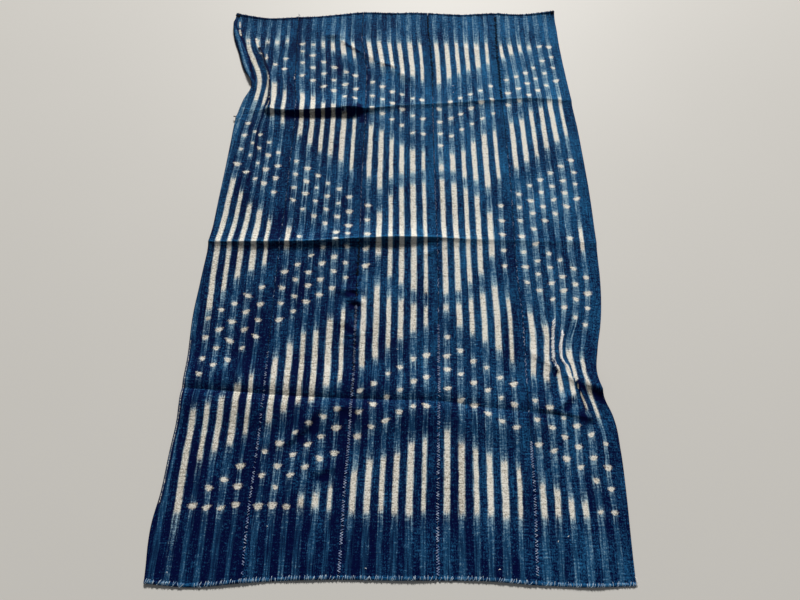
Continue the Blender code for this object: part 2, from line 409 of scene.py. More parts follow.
def strip_edges(strip, along):
    """Tape readings across the cloth of one strip's left and right edge."""
    left = smooth(along, SECTIONS[:, 0], SECTIONS[:, 1 + strip])
    right = smooth(along, SECTIONS[:, 0], SECTIONS[:, 2 + strip])
    left = left + (SEAM_GAP / 2 if strip > 0 else 0)
    right = right - (SEAM_GAP / 2 if strip < STRIPS - 1 else 0)
    return left, right


def solid_height(across, level, x, y):
    """Height of the underside over the floor, as the solid has it but for two folds.

    The three-quarter fold stays low up to the pleat below the black stitches, where it
    lies several millimetres under the solid. The quarter fold fades before the right edge.
    """
    half = y - smooth(across, STATIONS, HALF_FOLD.along)
    half_height = smooth(across, STATIONS, HALF_FOLD.height)
    height = half_height * ridge(half, HALF_FOLD_FAR_REACH, HALF_FOLD_NEAR_REACH)
    high = y - smooth(across, STATIONS, THREE_QUARTER_FOLD.along)
    high_height = smooth(across, STATIONS, THREE_QUARTER_FOLD.height)
    high_height = high_height * (LOW_FOLD_SHARE + (1 - LOW_FOLD_SHARE) * step(x, *FOLD_START))
    height = height + high_height * ridge(
        high, THREE_QUARTER_FOLD_FAR_REACH, THREE_QUARTER_FOLD_NEAR_REACH
    )
    low = y - smooth(across, STATIONS, QUARTER_FOLD.along)
    low_height = smooth(across, STATIONS, QUARTER_FOLD.height)
    low_height = low_height * (1 - (1 - LAST_FOLD_SHARE) * step(x, *FOLD_END))
    height = height + low_height * trough(low, QUARTER_FOLD_CREST, QUARTER_FOLD_REACH)
    for wrinkle in WRINKLES:
        height = height + wrinkle_height(wrinkle, x, y)
    for hem in (NEAR_HEM, FAR_HEM):
        lift = np.clip(smooth(across, STATIONS, hem.height), 0, None)
        height = height + lift * flank(np.abs(level - hem.level), HEM_LIFT_REACH)
    return height


print("half fold at strip 2 is", float(solid_height(1.5, 900.0, -220.0, 893.0)), "mm high")

# %% [markdown]
# ## Softness
# Hand-woven cotton is never dead flat. Broad ripples a millimetre high, small dents left
# by folding and handling, and a fine cockle along each hand-sewn seam catch the light
# unevenly. All of it is real height in the mesh. The dents come from a seeded table of
# random heights, read with a smooth curve between its entries, so every run is the same.

# %% Softness
Ripple = namedtuple("Ripple", "across along turn height")
RIPPLES = (
    Ripple(210, 470, 0.3, 0.50),
    Ripple(330, -190, 1.9, 0.40),
    Ripple(-140, 260, 4.1, 0.30),
)
Dent = namedtuple("Dent", "size height")
DENTS = (Dent(62, 0.9), Dent(30, 0.45), Dent(15, 0.2))
DENT_SEED = 5
DENT_START = (-700, -100)
DENT_COUNT = (1400, 2100)
Cockle = namedtuple("Cockle", "seam start end height")
COCKLES = (
    Cockle(1, 0, 1832, 0.35),
    Cockle(2, 0, 1832, 0.40),
    Cockle(2, 560, 860, 1.30),
    Cockle(3, 0, 1832, 0.35),
    Cockle(3, 720, 900, 0.80),
    Cockle(4, 0, 1832, 0.35),
    Cockle(4, 1500, 1800, 0.90),
)
COCKLE_REACH = 16
COCKLE_WAVES = (31, 19)
COCKLE_FADE = 30


def dents(x, y, dent):
    """Random heights from 0 to 1 on a square net, joined by smooth curves."""
    shape = [int(length / dent.size) + 3 for length in DENT_COUNT]
    heights = np.random.default_rng(DENT_SEED + dent.size).uniform(0, 1, shape)
    across = (np.asarray(x) - DENT_START[0]) / dent.size
    along = (np.asarray(y) - DENT_START[1]) / dent.size
    column, row = np.floor(across).astype(int), np.floor(along).astype(int)
    right, far = step(across - column, 0, 1), step(along - row, 0, 1)
    near_side = heights[column, row] * (1 - right) + heights[column + 1, row] * right
    far_side = heights[column, row + 1] * (1 - right) + heights[column + 1, row + 1] * right
    return near_side * (1 - far) + far_side * far


def softness(x, y):
    """Extra height of ripples, dents and gathers over the solid's underside."""
    height = sum(ripple.height for ripple in RIPPLES)
    for ripple in RIPPLES:
        wave = 2 * math.pi * (x / ripple.across + y / ripple.along) + ripple.turn
        height = height + ripple.height * np.sin(wave)
    for dent in DENTS:
        height = height + dent.height * dents(x, y, dent)
    for wrinkle in SMALL_WRINKLES:
        height = height + wrinkle_height(wrinkle, x, y)
    for cockle in COCKLES:
        seam = smooth(y, SECTIONS[:, 0], SECTIONS[:, 1 + cockle.seam])
        near = np.exp(-((x - seam) / COCKLE_REACH) ** 2)
        here = step(y, cockle.start - COCKLE_FADE, cockle.start + COCKLE_FADE)
        here = here * (1 - step(y, cockle.end - COCKLE_FADE, cockle.end + COCKLE_FADE))
        wave = sum(np.sin(2 * math.pi * y / size + cockle.seam) for size in COCKLE_WAVES)
        height = height + cockle.height * near * here * (1 + wave / 2)
    return height


print("softness near the middle:", float(softness(0.0, 900.0)), "mm")

# %% [markdown]
# ## Thickness
# The near and far ends are rolled and sewn down, so the sheet there is a small round
# roll. Each selvedge thins to its last thread, which leaves a fine groove at every seam.
# The left edge was turned under from just past the near corner almost to the far one.
# Wherever a groove would press the sheet into the floor, the floor holds it up.

# %% Thickness
HEM_LEAST = 0.6
HEM_BLEND = (6, 9)
UNDERSIDE_LEAST = 0.4
SELVEDGE_SHARE = 0.5
SELVEDGE_REACH = 3.2
TURNED_EDGE = (150, 1720)
TURNED_WIDTH = 13
TURNED_THICKNESS = 1.4
TURNED_NEAR_FADE = 12
TURNED_FAR_FADE = 20
TURNED_ROUND = 3


def turned_share(y):
    """1 where the left edge is turned under, and 0 where it lies open."""
    near, far = TURNED_EDGE
    share = step(y, near - TURNED_NEAR_FADE, near + TURNED_NEAR_FADE)
    return share * (1 - step(y, far - TURNED_FAR_FADE, far + TURNED_FAR_FADE))


def thickness(strip, across, level, x, y):
    """Thickness of the sheet, in millimetres."""
    inside = np.minimum(level, CLOTH_LENGTH - level)
    half = HEM_WIDTH / 2
    roll = HEM_THICKNESS * np.sqrt(np.clip(1 - ((inside - half) / half) ** 2, 0, 1))
    sheet = np.maximum(np.maximum(roll, HEM_LEAST), CLOTH_THICKNESS * step(inside, *HEM_BLEND))
    left, right = strip_edges(strip, y)
    selvedge = np.minimum(x - left, right - x)
    sheet = sheet * (SELVEDGE_SHARE + (1 - SELVEDGE_SHARE) * step(selvedge, 0, SELVEDGE_REACH))
    if strip == 0:
        fold = step(x - left, -1, TURNED_ROUND)
        fold = fold * (1 - step(x - left, TURNED_WIDTH - TURNED_ROUND, TURNED_WIDTH))
        sheet = sheet + TURNED_THICKNESS * turned_share(y) * fold
    return sheet


def surface(strip, across, level):
    """Place, underside and top of points on one strip, in tape millimetres."""
    y = along_cloth(across, level)
    left, right = strip_edges(strip, y)
    x = left + (right - left) * (across - strip)
    under = np.maximum(solid_height(across, level, x, y) + softness(x, y), UNDERSIDE_LEAST)
    return x, y, under, under + thickness(strip, across, level, x, y)


print("middle of strip 3 is", [float(v) for v in surface(2, np.array(2.5), np.array(600.0))])

# %% [markdown]
# ## Stripes and ties
# Every strip has six pale stripes. Before weaving, the warp threads of each stripe were
# tied off where no dye should reach. Across the whole cloth the ties make one lattice:
# bars that form a diamond in the middle, arms of bars around it, and rows of dots between
# them. It repeats outwards from the middle line, so the table has one row for each stripe
# from the middle line to the edge, with distances along the warp from the cloth's middle.
# The strips were not matched exactly when they were sewn, so each has its own slip along
# the warp, and every tie has a little slack. The outermost stripe of strip 1 is mostly
# turned under, so it has no ties, and the first stripe of strip 4 has a row of its own.

# %% Stripes and ties
Stripe = namedtuple("Stripe", "centre width")
STRIPES = (
    Stripe(21, 15.5),
    Stripe(56, 16.5),
    Stripe(90, 13.5),
    Stripe(123, 15.5),
    Stripe(158, 17.5),
    Stripe(192, 12),
)
Ties = namedtuple("Ties", "diamond inner_dots side arm outer_dots end_bar")
TIES = (
    Ties(190, (), 0, (231, 290), (366, 427, 502), 595),
    Ties(181, (), 0, (222, 298), (372, 436, 506), 608),
    Ties(163, (), 0, (211, 317), (396, 462, 523), 623),
    Ties(135, (), 0, (196, 344), (420, 482, 540), 641),
    Ties(74, (), 0, (166, 369), (445, 500, 558), 654),
    Ties(0, (0, 50, 103), 0, (202, 397), (463, 518, 577), 672),
    Ties(0, (0, 42, 91, 142), 0, (240, 430), (508, 557, 616), 702),
    Ties(0, (20, 72, 119, 170), 0, (270, 455), (524, 577, 633), 716),
    Ties(0, (48, 98, 147, 195), 0, (290, 483), (548, 598, 650), 732),
    Ties(0, (72, 123, 171, 220), 0, (311, 497), (568, 623, 674), 746),
    Ties(0, (99, 149, 196, 247), 7, (342, 523), (593, 650, 703), 770),
    Ties(0, (126, 176, 223, 273), 36, (371, 546), (616, 672, 722), 770),
    Ties(0, (160, 211, 260, 310), 74, (416, 566), (655, 700), 770),
    Ties(0, (186, 239, 290, 343), 98, (450, 591), (677,), 770),
    Ties(0, (209, 268, 321, 376), 120, (478, 621), (700,), 770),
    Ties(0, (232, 290, 340, 391), 162, (491, 637), (720,), 770),
    Ties(0, (260, 319, 370, 419), 220, (506, 763), (), 770),
)
FOUR_DOT_TIES = Ties(191, (), 0, (230, 257), (329, 380, 428, 476), 576)

Slip = namedtuple("Slip", "middle inner outer near_end near_dot far_end far_dot")
SLIPS = (
    Slip(908, 0, 0, 158, 164, 1694, 1661),
    Slip(915, -5, 5, 158, 165, 1688, 1677),
    Slip(922, 0, 8, 151, 151, 1690, 1690),
    Slip(926, 0, -8, 144, 144, 1687, 1687),
    Slip(921, 7, -12, 141, 157, 1688, 1681),
)
TIE_SEED = 17
BAR_SLACK = 4
DOT_SLACK = 2.5
SHORT_BAR = 12
SIDE_BAR_SHIFT = 10
DOTS_APART = 26


def ties_of(strip, stripe):
    """Bars as (near, far) and dots as tape readings for one stripe."""
    count = (STRIPS + 1) // 2 * len(STRIPES) - 1 - strip * len(STRIPES) - stripe
    if count < 0:
        count = -1 - count
    if (strip, stripe) == (0, 0):
        return [], []
    ties = FOUR_DOT_TIES if (strip, stripe) == (3, 0) else TIES[count]
    slip = SLIPS[strip]
    chance = np.random.default_rng(TIE_SEED + strip * len(STRIPES) + stripe)
    bars, dots = [], []
    if ties.diamond:
        bars.append([slip.middle - ties.diamond, slip.middle + ties.diamond])
    if ties.side > SHORT_BAR:
        side_middle = slip.middle - SIDE_BAR_SHIFT
        bars.append([side_middle - ties.side, side_middle + ties.side])
    elif ties.side:
        dots.append(slip.middle - ties.side)
    for way, end, end_dot in ((-1, slip.near_end, slip.near_dot), (1, slip.far_end, slip.far_dot)):
        for out in ties.inner_dots:
            if out or way > 0:
                dots.append(slip.middle + way * (out + (slip.inner if out else 0)))
        for out in ties.outer_dots:
            place = slip.middle + way * (out + slip.outer)
            if abs(end_dot - place) > DOTS_APART:
                dots.append(place)
        arm = (ties.arm[0] + slip.inner, ties.arm[1] + slip.outer)
        bars.append(sorted(slip.middle + way * out for out in arm))
        start = slip.middle + way * ties.end_bar
        if (end - start) * way > SHORT_BAR:
            bars.append(sorted((start, end)))
        elif count < len(TIES) - 1:
            dots.append(end_dot)
    bars = [
        (near + chance.normal(0, BAR_SLACK), far + chance.normal(0, BAR_SLACK))
        for near, far in bars
    ]
    dots = [dot + chance.normal(0, DOT_SLACK) for dot in dots]
    return bars, dots


print("strip 2, first stripe:", ties_of(1, 0))

# %% [markdown]
# ## Stripes that bend
# Between the seams of the inner strips the stripes run straight. In the two outer strips
# the mends and the turned edge gather the cloth, so its stripes crowd and lean. The first
# tables say where each stripe lies at several sections, and turn a place on the floor
# back into a place on the flat strip. A tuck is a pinch that swallows some of the cloth:
# each row says where it runs and which part of the flat strip is hidden in it there.

# %% Stripes that bend
LeftBend = namedtuple("LeftBend", "along edge second third fourth fifth sixth seam")
LEFT_BENDS = np.array((
    LeftBend(0, -567, -519, -481, -448, -413, -379, -345),
    LeftBend(150, -568, -515, -479, -447, -412, -377, -344),
    LeftBend(250, -558, -514, -478, -446, -411, -376, -341),
    LeftBend(400, -549, -509, -475, -441, -405, -371, -336),
    LeftBend(600, -550, -508, -475, -441, -406, -372, -336),
    LeftBend(900, -536, -509, -475, -441, -405, -371, -332),
    LeftBend(1000, -531, -501, -468, -434, -401, -369, -330),
    LeftBend(1100, -526, -494, -461, -427, -401, -367, -327),
    LeftBend(1200, -522, -485, -451, -425, -398, -365, -326),
    LeftBend(1300, -515, -476, -446, -430, -395, -362, -325),
    LeftBend(1400, -504, -460, -431, -415, -401, -364, -326),
    LeftBend(1450, -492, -453, -427, -414, -400, -365, -329),
    LeftBend(1505, -480, -452, -422, -417, -402, -368, -335),
    LeftBend(1550, -509, -463, -432, -424, -407, -374, -337),
    LeftBend(1600, -527, -484, -450, -441, -408, -376, -339),
    LeftBend(1650, -541, -502, -468, -443, -409, -376, -341),
    LeftBend(1700, -560, -512, -477, -442, -409, -376, -342),
    LeftBend(1750, -567, -513, -477, -443, -410, -377, -343),
    LeftBend(1832, -559, -514, -478, -443, -410, -378, -345),
), dtype=float)
RightBend = namedtuple("RightBend", "along seam first second third fourth fifth sixth edge")
RIGHT_BENDS = np.array((
    RightBend(0, 336, 360, 394, 428, 461, 497, 531, 564),
    RightBend(150, 345, 366, 400, 433, 467, 502, 536, 569),
    RightBend(250, 347, 367, 404, 434, 466, 501, 534, 572),
    RightBend(340, 348, 367, 406, 436, 469, 503, 534, 571),
    RightBend(400, 349, 367, 404, 438, 470, 499, 524, 564),
    RightBend(440, 350, 368, 404, 440, 471, 493, 515, 548),
    RightBend(480, 351, 369, 404, 439, 468, 478, 508, 540),
    RightBend(500, 351, 370, 405, 437, 465, 477, 505, 539),
    RightBend(520, 352, 372, 407, 435, 462, 475, 504, 541),
    RightBend(550, 352, 375, 411, 428, 449, 472, 504, 546),
    RightBend(600, 354, 378, 417, 432, 455, 475, 516, 558),
    RightBend(650, 355, 378, 412, 440, 466, 495, 528, 569),
    RightBend(700, 353, 378, 410, 444, 473, 506, 539, 577),
    RightBend(900, 350, 374, 411, 445, 478, 512, 547, 590),
    RightBend(1100, 354, 375, 411, 446, 480, 517, 551, 592),
    RightBend(1300, 351, 375, 409, 443, 477, 512, 546, 586),
    RightBend(1400, 350, 371, 407, 440, 475, 506, 541, 581),
    RightBend(1550, 348, 371, 404, 438, 467, 501, 536, 572),
    RightBend(1700, 347, 358, 391, 425, 458, 494, 527, 564),
    RightBend(1832, 350, 360, 392, 425, 459, 491, 525, 561),
), dtype=float)


TUCK_HALF_WIDTH = 1.5
TUCK_FADE = 8
LEAST_KNOT_SPAN = 0.05
LEAST_TUCK_SPAN = 0.1
EDGE_SPARE = 6
TuckRow = namedtuple("TuckRow", "along across hidden_from hidden_to")
TUCKS = {
    "black stitches": (0, np.array((
        TuckRow(1398, -410, 118, 136),
        TuckRow(1430, -412, 102, 144),
        TuckRow(1470, -415, 99, 145),
        TuckRow(1498, -418, 92, 144),
        TuckRow(1518, -421, 88, 144),
        TuckRow(1546, -428, 87, 144),
        TuckRow(1578, -440, 87, 128),
        TuckRow(1610, -449, 87, 110),
        TuckRow(1650, -468, 92, 100),
    ), dtype=float)),
    "first white stitches": (4, np.array((
        TuckRow(508, 433, 76, 80),
        TuckRow(524, 432, 74, 92),
        TuckRow(538, 427, 73, 101),
        TuckRow(565, 428, 73, 101),
        TuckRow(601, 431, 73, 101),
        TuckRow(628, 435, 74, 96),
        TuckRow(650, 440, 78, 84),
    ), dtype=float)),
    "second white stitches": (4, np.array((
        TuckRow(522, 457, 112, 118),
        TuckRow(535, 453, 112, 130),
        TuckRow(547, 449, 112, 134),
        TuckRow(580, 451, 112, 134),
        TuckRow(600, 455, 112, 132),
        TuckRow(620, 459, 112, 116),
    ), dtype=float)),
    "fold below the swell": (4, np.array((
        TuckRow(402, 497, 148, 161),
        TuckRow(421, 495, 148, 161),
        TuckRow(439, 491, 147, 163),
        TuckRow(462, 484, 139, 169),
        TuckRow(479, 479, 136, 167),
        TuckRow(488, 474, 132, 154),
        TuckRow(505, 472, 132, 149),
        TuckRow(526, 468, 134, 146),
    ), dtype=float)),
}


def through(value, knots, readings):
    """Read a table whose entries may differ from point to point."""
    reading = readings[0] + (value - knots[0])
    for index in range(len(knots) - 1):
        span = np.maximum(knots[index + 1] - knots[index], LEAST_KNOT_SPAN)
        part = (value - knots[index]) / span
        rise = readings[index + 1] - readings[index]
        reading = np.where(part > 0, readings[index] + rise * np.clip(part, 0, 1), reading)
    return reading


def add_tuck(rows, y, knots, flats):
    """Let one tuck swallow part of the flat cloth, and sort the tables again."""
    line, first, last = (smooth(y, rows[:, 0], rows[:, column]) for column in (1, 2, 3))
    grip = step(y, rows[0, 0] - TUCK_FADE, rows[0, 0])
    grip = grip * (1 - step(y, rows[-1, 0], rows[-1, 0] + TUCK_FADE))
    middle, span = (first + last) / 2, np.maximum(last - first, LEAST_TUCK_SPAN)
    added = []
    for index, flat in enumerate(flats):
        inside = line + (flat - middle) / span * 2 * TUCK_HALF_WIDTH
        hidden = (flat > first) & (flat < last)
        knots[index] = np.where(hidden, knots[index] + grip * (inside - knots[index]), knots[index])
    for flat, side in ((first, -TUCK_HALF_WIDTH), (last, TUCK_HALF_WIDTH)):
        natural = through(flat, flats, knots)
        added.append(natural + grip * (line + side - natural))
    knots = np.stack([*knots, *added])
    flats = np.stack([*flats, first, last])
    order = np.argsort(flats, axis=0, kind="stable")
    knots = np.maximum.accumulate(np.take_along_axis(knots, order, axis=0), axis=0)
    return list(knots), list(np.take_along_axis(flats, order, axis=0))


def flat_place(strip, x, y):
    """Distance across the flat strip, in millimetres from its left selvedge."""
    centres = [stripe.centre for stripe in STRIPES]
    if 0 < strip < STRIPS - 1:
        left, right = strip_edges(strip, y)
        return STRIP_WIDTH * (x - left) / (right - left)
    table = RIGHT_BENDS if strip else LEFT_BENDS
    knots = [smooth(y, table[:, 0], table[:, column]) for column in range(1, table.shape[1])]
    if strip:
        edge = np.minimum(centres[-1] + knots[-1] - knots[-2], STRIP_WIDTH + EDGE_SPARE)
        flats = [0, *centres, edge]
    else:
        flats = [centres[1] - (knots[1] - knots[0]), *centres[1:], STRIP_WIDTH]
    flats = [flat + np.zeros_like(y) for flat in flats]
    for tucked_strip, rows in TUCKS.values():
        if tucked_strip == strip:
            knots, flats = add_tuck(rows, y, knots, flats)
    return through(x, knots, flats)


edge_place = flat_place(0, np.array([-536.0]), np.array([900.0]))
print("left edge at 900 is", edge_place[0].round(1), "mm across its flat strip")

# %% [markdown]
# ## Marks in the sheet
# The material has to know how far each point is inside a stripe, a bar or a dot. Those
# distances are worked out once and kept on the vertices, and the shader feathers them
# thread by thread. A dot is a small knot of cream: a round body where the tie was, and two
# short arms where dye crept round it, no two alike. Pale streaks of undyed thread run on
# past each tie, and furthest on the near side of the bars in the second and third stripe
# of strip 1. Wear and painted light are kept in the same way. The indigo has rubbed paler
# on the crests of the folds, along the turned edge and the near hem. The cloth also gets
# paler bit by bit towards the far end, partly from real fading and partly as a painted
# reflection of the window, and paler towards the right. Painted shade lines darken the
# creases, grooves and tucks, and the ground under the folds, where shadow falls. On the
# left rim a thin cream line is a painted highlight, with a painted shadow line just inside
# it. At the mends the dyed skin is gone and the thread is bare cream.

# %% Marks in the sheet
DotPart = namedtuple("DotPart", "half_width half_height up")
DOT_BODY = DotPart(7.3, 6.2, -0.8)
DOT_ARMS = DotPart(8.7, 3.8, 1.9)
DOT_CHANCES = (0.09, 0.14, 0.9, 0.08, 0.8)
MARK_LIMIT = 40
HALO_ABOVE = 13
HALO_BELOW = 20
LONG_STREAKS = {(0, 1): 85, (0, 2): 40}


def dot_field(aside, up, part, widening):
    """How far points are inside one part of a dot, in millimetres."""
    half_width = part.half_width * widening
    reach = np.hypot(aside / half_width, up / part.half_height)
    return min(half_width, part.half_height) * (1 - reach)


def marks(strip, flat, y):
    """How far each point is inside its stripe, a bar and a dot, and how near a tie."""
    centres = np.array([stripe.centre for stripe in STRIPES])
    nearest = np.abs(flat[:, None] - centres).argmin(1)
    side = np.zeros_like(flat)
    end = np.full_like(flat, -MARK_LIMIT)
    dot = np.full_like(flat, -MARK_LIMIT)
    halo = np.zeros_like(flat)
    for index, stripe in enumerate(STRIPES):
        here = nearest == index
        aside = flat[here] - stripe.centre
        along = y[here]
        side[here] = stripe.width / 2 - np.abs(aside)
        bars, dots = ties_of(strip, index)
        streak = LONG_STREAKS.get((strip, index), HALO_BELOW)
        chance = np.random.default_rng(TIE_SEED * 3 + strip * len(STRIPES) + index)
        end_here, dot_here, halo_here = end[here], dot[here], halo[here]
        for near, far in bars:
            inside = np.minimum(along - near, far - along)
            end_here = np.maximum(end_here, inside)
            reach = np.where(along < near, streak, HALO_BELOW)
            halo_here = np.maximum(halo_here, np.exp(-np.clip(-inside, 0, None) / reach))
        for place in dots:
            size, lean, shift, widening, lift = chance.normal((1, 0, 0, 1, 0), DOT_CHANCES)
            up = (along - place) / size
            out = (aside - shift - lean * up) / size
            body = dot_field(out, up - DOT_BODY.up, DOT_BODY, widening)
            arms = dot_field(out, up - DOT_ARMS.up - lift - lean * out, DOT_ARMS, widening)
            dot_here = np.maximum(dot_here, np.maximum(body, arms))
            fade = np.where(up > 0, np.abs(up) / HALO_ABOVE, np.abs(up) / HALO_BELOW)
            halo_here = np.maximum(halo_here, np.exp(-fade))
        end[here], dot[here], halo[here] = end_here, dot_here, halo_here
    return {"side": side, "end": end, "dot": dot, "halo": halo}


WEAR_NEAR = -0.16
# The rise along the cloth, from the near end value, is partly real fading and partly a painted
# reflection of the window at the far end.
FADE_AND_REFLECTION_ALONG = 0.50
# The cloth is also made paler towards the right.
PALER_TO_RIGHT = 0.31
PALER_TO_RIGHT_RANGE = (-300, 450)
RUBBED_CREST = 0.45
RUBBED_REACH = 5
HIGH_FOLD = 14
HEM_WEAR = 0.40
NEAR_HEM_LEVELS = (5, 12)
FAR_HEM_LEVELS = (1820, 1826)
EDGE_BAND_WEAR = 0.14
EDGE_LINE_WEAR = 0.45
EDGE_LINE = (140, 580)
EDGE_LINE_WIDTH = 2.4
EDGE_LINE_FADE = 0.8
EDGE_LINE_OUT = 2
EDGE_BAND_FADE = 5
EDGE_WEAR_START = 30
EDGE_RIM = 0.5
EDGE_RIM_REACH = (1, 4)
# A painted shadow line in the groove just inside the left rim.
EDGE_SHADE_LINE_PLACE = 7.8
EDGE_SHADE_LINE_WIDTH = 1.7
# A painted highlight: a thin cream line a few millimetres inside the left edge, where the rolled
# rim would catch the light.
RimHighlight = namedtuple("RimHighlight", "start end place half_width")
RIM_HIGHLIGHT = RimHighlight(150, 640, 4.2, 0.45)
RIM_START = 20
RIM_END = (60, 20)
# Painted shade lines: the ground is darkened along each path, in creases, grooves and tucks and
# under the folds, where shadow falls.
PaintedShadeLine = namedtuple("PaintedShadeLine", "width path")
PAINTED_SHADE_LINES = (
    PaintedShadeLine(3.4, ((-551, 1806), (-558, 1780), (-558, 1754), (-552, 1738))),
    PaintedShadeLine(
        3.8, ((-552, 1738), (-544, 1722), (-520, 1670), (-500, 1621), (-487, 1560), (-474, 1514))
    ),
    PaintedShadeLine(
        3.4, ((-572, 1748), (-566, 1716), (-545, 1668), (-524, 1600), (-507, 1545), (-486, 1503))
    ),
    PaintedShadeLine(
        3.4, ((-468, 1652), (-449, 1610), (-440, 1578), (-428, 1546), (-418, 1498), (-410, 1396))
    ),
    PaintedShadeLine(3.4, ((-499, 1490), (-511, 1440), (-517, 1350), (-524, 1250))),
    PaintedShadeLine(4.5, ((438, 512), (426, 498))),
    PaintedShadeLine(3.4, ((483, 480), (491, 440), (497, 404))),
    PaintedShadeLine(4, ((486, 472), (508, 458))),
    PaintedShadeLine(10, ((520, 450), (552, 430))),
    PaintedShadeLine(9, ((487, 388), (500, 376))),
    PaintedShadeLine(10, ((446, 404), (462, 430))),
    PaintedShadeLine(16, ((-345, 1362), (-290, 1364), (-240, 1368), (-170, 1372), (-130, 1374))),
    PaintedShadeLine(11, ((-118, 1392), (-111, 1376), (-104, 1346))),
    PaintedShadeLine(9, ((-134, 728), (-112, 727))),
    PaintedShadeLine(8, ((-118, 692), (-104, 692))),
    PaintedShadeLine(7, ((-132, 630), (-114, 616))),
    PaintedShadeLine(10, ((-198, 366), (-203, 350))),
    PaintedShadeLine(12, ((-128, 386), (-106, 386))),
    PaintedShadeLine(8, ((-232, 326), (-224, 322))),
    PaintedShadeLine(8, ((-180, 232), (-164, 232))),
    PaintedShadeLine(3, ((-176, 1676), (-128, 1640))),
    PaintedShadeLine(3, ((-44, 1584), (0, 1569))),
)
PAINTED_SHADE_DEPTH = 0.9
MIDDLE_WEAR = 0.10
MIDDLE_PATCH = (20, 1150, 330)


def distance_to(path, x, y):
    """Distance of points from a path of straight pieces."""
    nearest = np.full_like(x, np.inf)
    for start, end in zip(path[:-1], path[1:]):
        run = np.subtract(end, start)
        part = ((x - start[0]) * run[0] + (y - start[1]) * run[1]) / (run @ run)
        part = np.clip(part, 0, 1)
        off = np.hypot(x - start[0] - part * run[0], y - start[1] - part * run[1])
        nearest = np.minimum(nearest, off)
    return nearest


def before_rim_ends(y):
    """1 along the left rim where its painted highlight and painted shadow line lie, and 0 past the
    end of that stretch.
    """
    return 1 - step(y, RIM_HIGHLIGHT.end - RIM_END[0], RIM_HIGHLIGHT.end + RIM_END[1])


def wear_and_painted_light(strip, across, level, x, y):
    """How much indigo has rubbed off, from 0 to about 1, with painted light added: painted shade
    lines lower it and a painted reflection raises it towards the far end.
    """
    # Paler towards the far end, partly from fading and partly as a painted reflection, and paler
    # towards the right.
    rubbed_and_painted = WEAR_NEAR + FADE_AND_REFLECTION_ALONG * y / CLOTH_LENGTH + PALER_TO_RIGHT * step(x, *PALER_TO_RIGHT_RANGE)
    off_middle = np.hypot(x - MIDDLE_PATCH[0], y - MIDDLE_PATCH[1]) / MIDDLE_PATCH[2]
    rubbed_and_painted = rubbed_and_painted + MIDDLE_WEAR * np.exp(-off_middle ** 2)
    for fold in (HALF_FOLD, THREE_QUARTER_FOLD):
        off_crest = y - smooth(across, STATIONS, fold.along) - 1
        high = np.clip(smooth(across, STATIONS, fold.height) / HIGH_FOLD, 0, 1)
        rubbed_and_painted = rubbed_and_painted + RUBBED_CREST * high * np.exp(-(off_crest / RUBBED_REACH) ** 2)
    rubbed_and_painted = rubbed_and_painted + HEM_WEAR * (1 - step(level, *NEAR_HEM_LEVELS))
    rubbed_and_painted = rubbed_and_painted - HEM_WEAR * step(level, *FAR_HEM_LEVELS)
    if strip == 0:
        left, _ = strip_edges(strip, y)
        inside = x - left
        turned = step(y, TURNED_EDGE[0], TURNED_EDGE[0] + EDGE_WEAR_START)
        past_rim = step(inside, *EDGE_RIM_REACH)
        band = past_rim * (1 - step(inside, TURNED_WIDTH, TURNED_WIDTH + EDGE_BAND_FADE))
        line = np.exp(-((inside - TURNED_WIDTH - EDGE_LINE_OUT) / EDGE_LINE_WIDTH) ** 2)
        line = line * (1 - step(y, *EDGE_LINE) * EDGE_LINE_FADE)
        rubbed_and_painted = rubbed_and_painted + turned * (EDGE_BAND_WEAR * band + EDGE_LINE_WEAR * line)
        rubbed_and_painted = rubbed_and_painted - EDGE_RIM * turned * (1 - past_rim)
        # Painted shade: a dark line in the groove just inside the rim.
        crease = np.exp(-((inside - EDGE_SHADE_LINE_PLACE) / EDGE_SHADE_LINE_WIDTH) ** 2)
        crease = crease * before_rim_ends(y)
        rubbed_and_painted = rubbed_and_painted - PAINTED_SHADE_DEPTH * turned * crease
    # Painted shade along each shade line.
    for shade_line in PAINTED_SHADE_LINES:
        off_line = distance_to(shade_line.path, x, y) / shade_line.width
        rubbed_and_painted = rubbed_and_painted - PAINTED_SHADE_DEPTH * np.exp(-off_line ** 2)
    return rubbed_and_painted


BareThreads = namedtuple("BareThreads", "path half_width")
BARE_THREADS = (
    BareThreads(((436, 634), (431.5, 601), (428.5, 565), (427.5, 538)), 1.7),
    BareThreads(((459.5, 612), (455, 598), (451, 580), (449.5, 559), (449, 544)), 3.2),
    BareThreads(((-547, 1772), (-544, 1748)), 2.6),
    BareThreads(((-544, 1736), (-538, 1712)), 3.2),
    BareThreads(((-483, 1697), (-479, 1680), (-470, 1654)), 3.8),
    BareThreads(((-442, 1626), (-437, 1612)), 2.2),
)


def bare_thread_and_rim_highlight(strip, x, y):
    """How far points are inside the places where the dyed skin of the thread is gone, and inside
    the painted highlight along the left rim.
    """
    inside = [spot.half_width - distance_to(spot.path, x, y) for spot in BARE_THREADS]
    if strip == 0:
        left, _ = strip_edges(strip, y)
        rim = RIM_HIGHLIGHT.half_width - np.abs(x - left - RIM_HIGHLIGHT.place)
        here = step(y, RIM_HIGHLIGHT.start, RIM_HIGHLIGHT.start + RIM_START) * before_rim_ends(y)
        inside.append(rim - MARK_LIMIT * (1 - here))
    return np.max(inside, axis=0)


sample = marks(2, np.array([21.0, 56.0]), np.array([915.0, 915.0]))
print("on the middle line:", {name: value.round(1).tolist() for name, value in sample.items()})

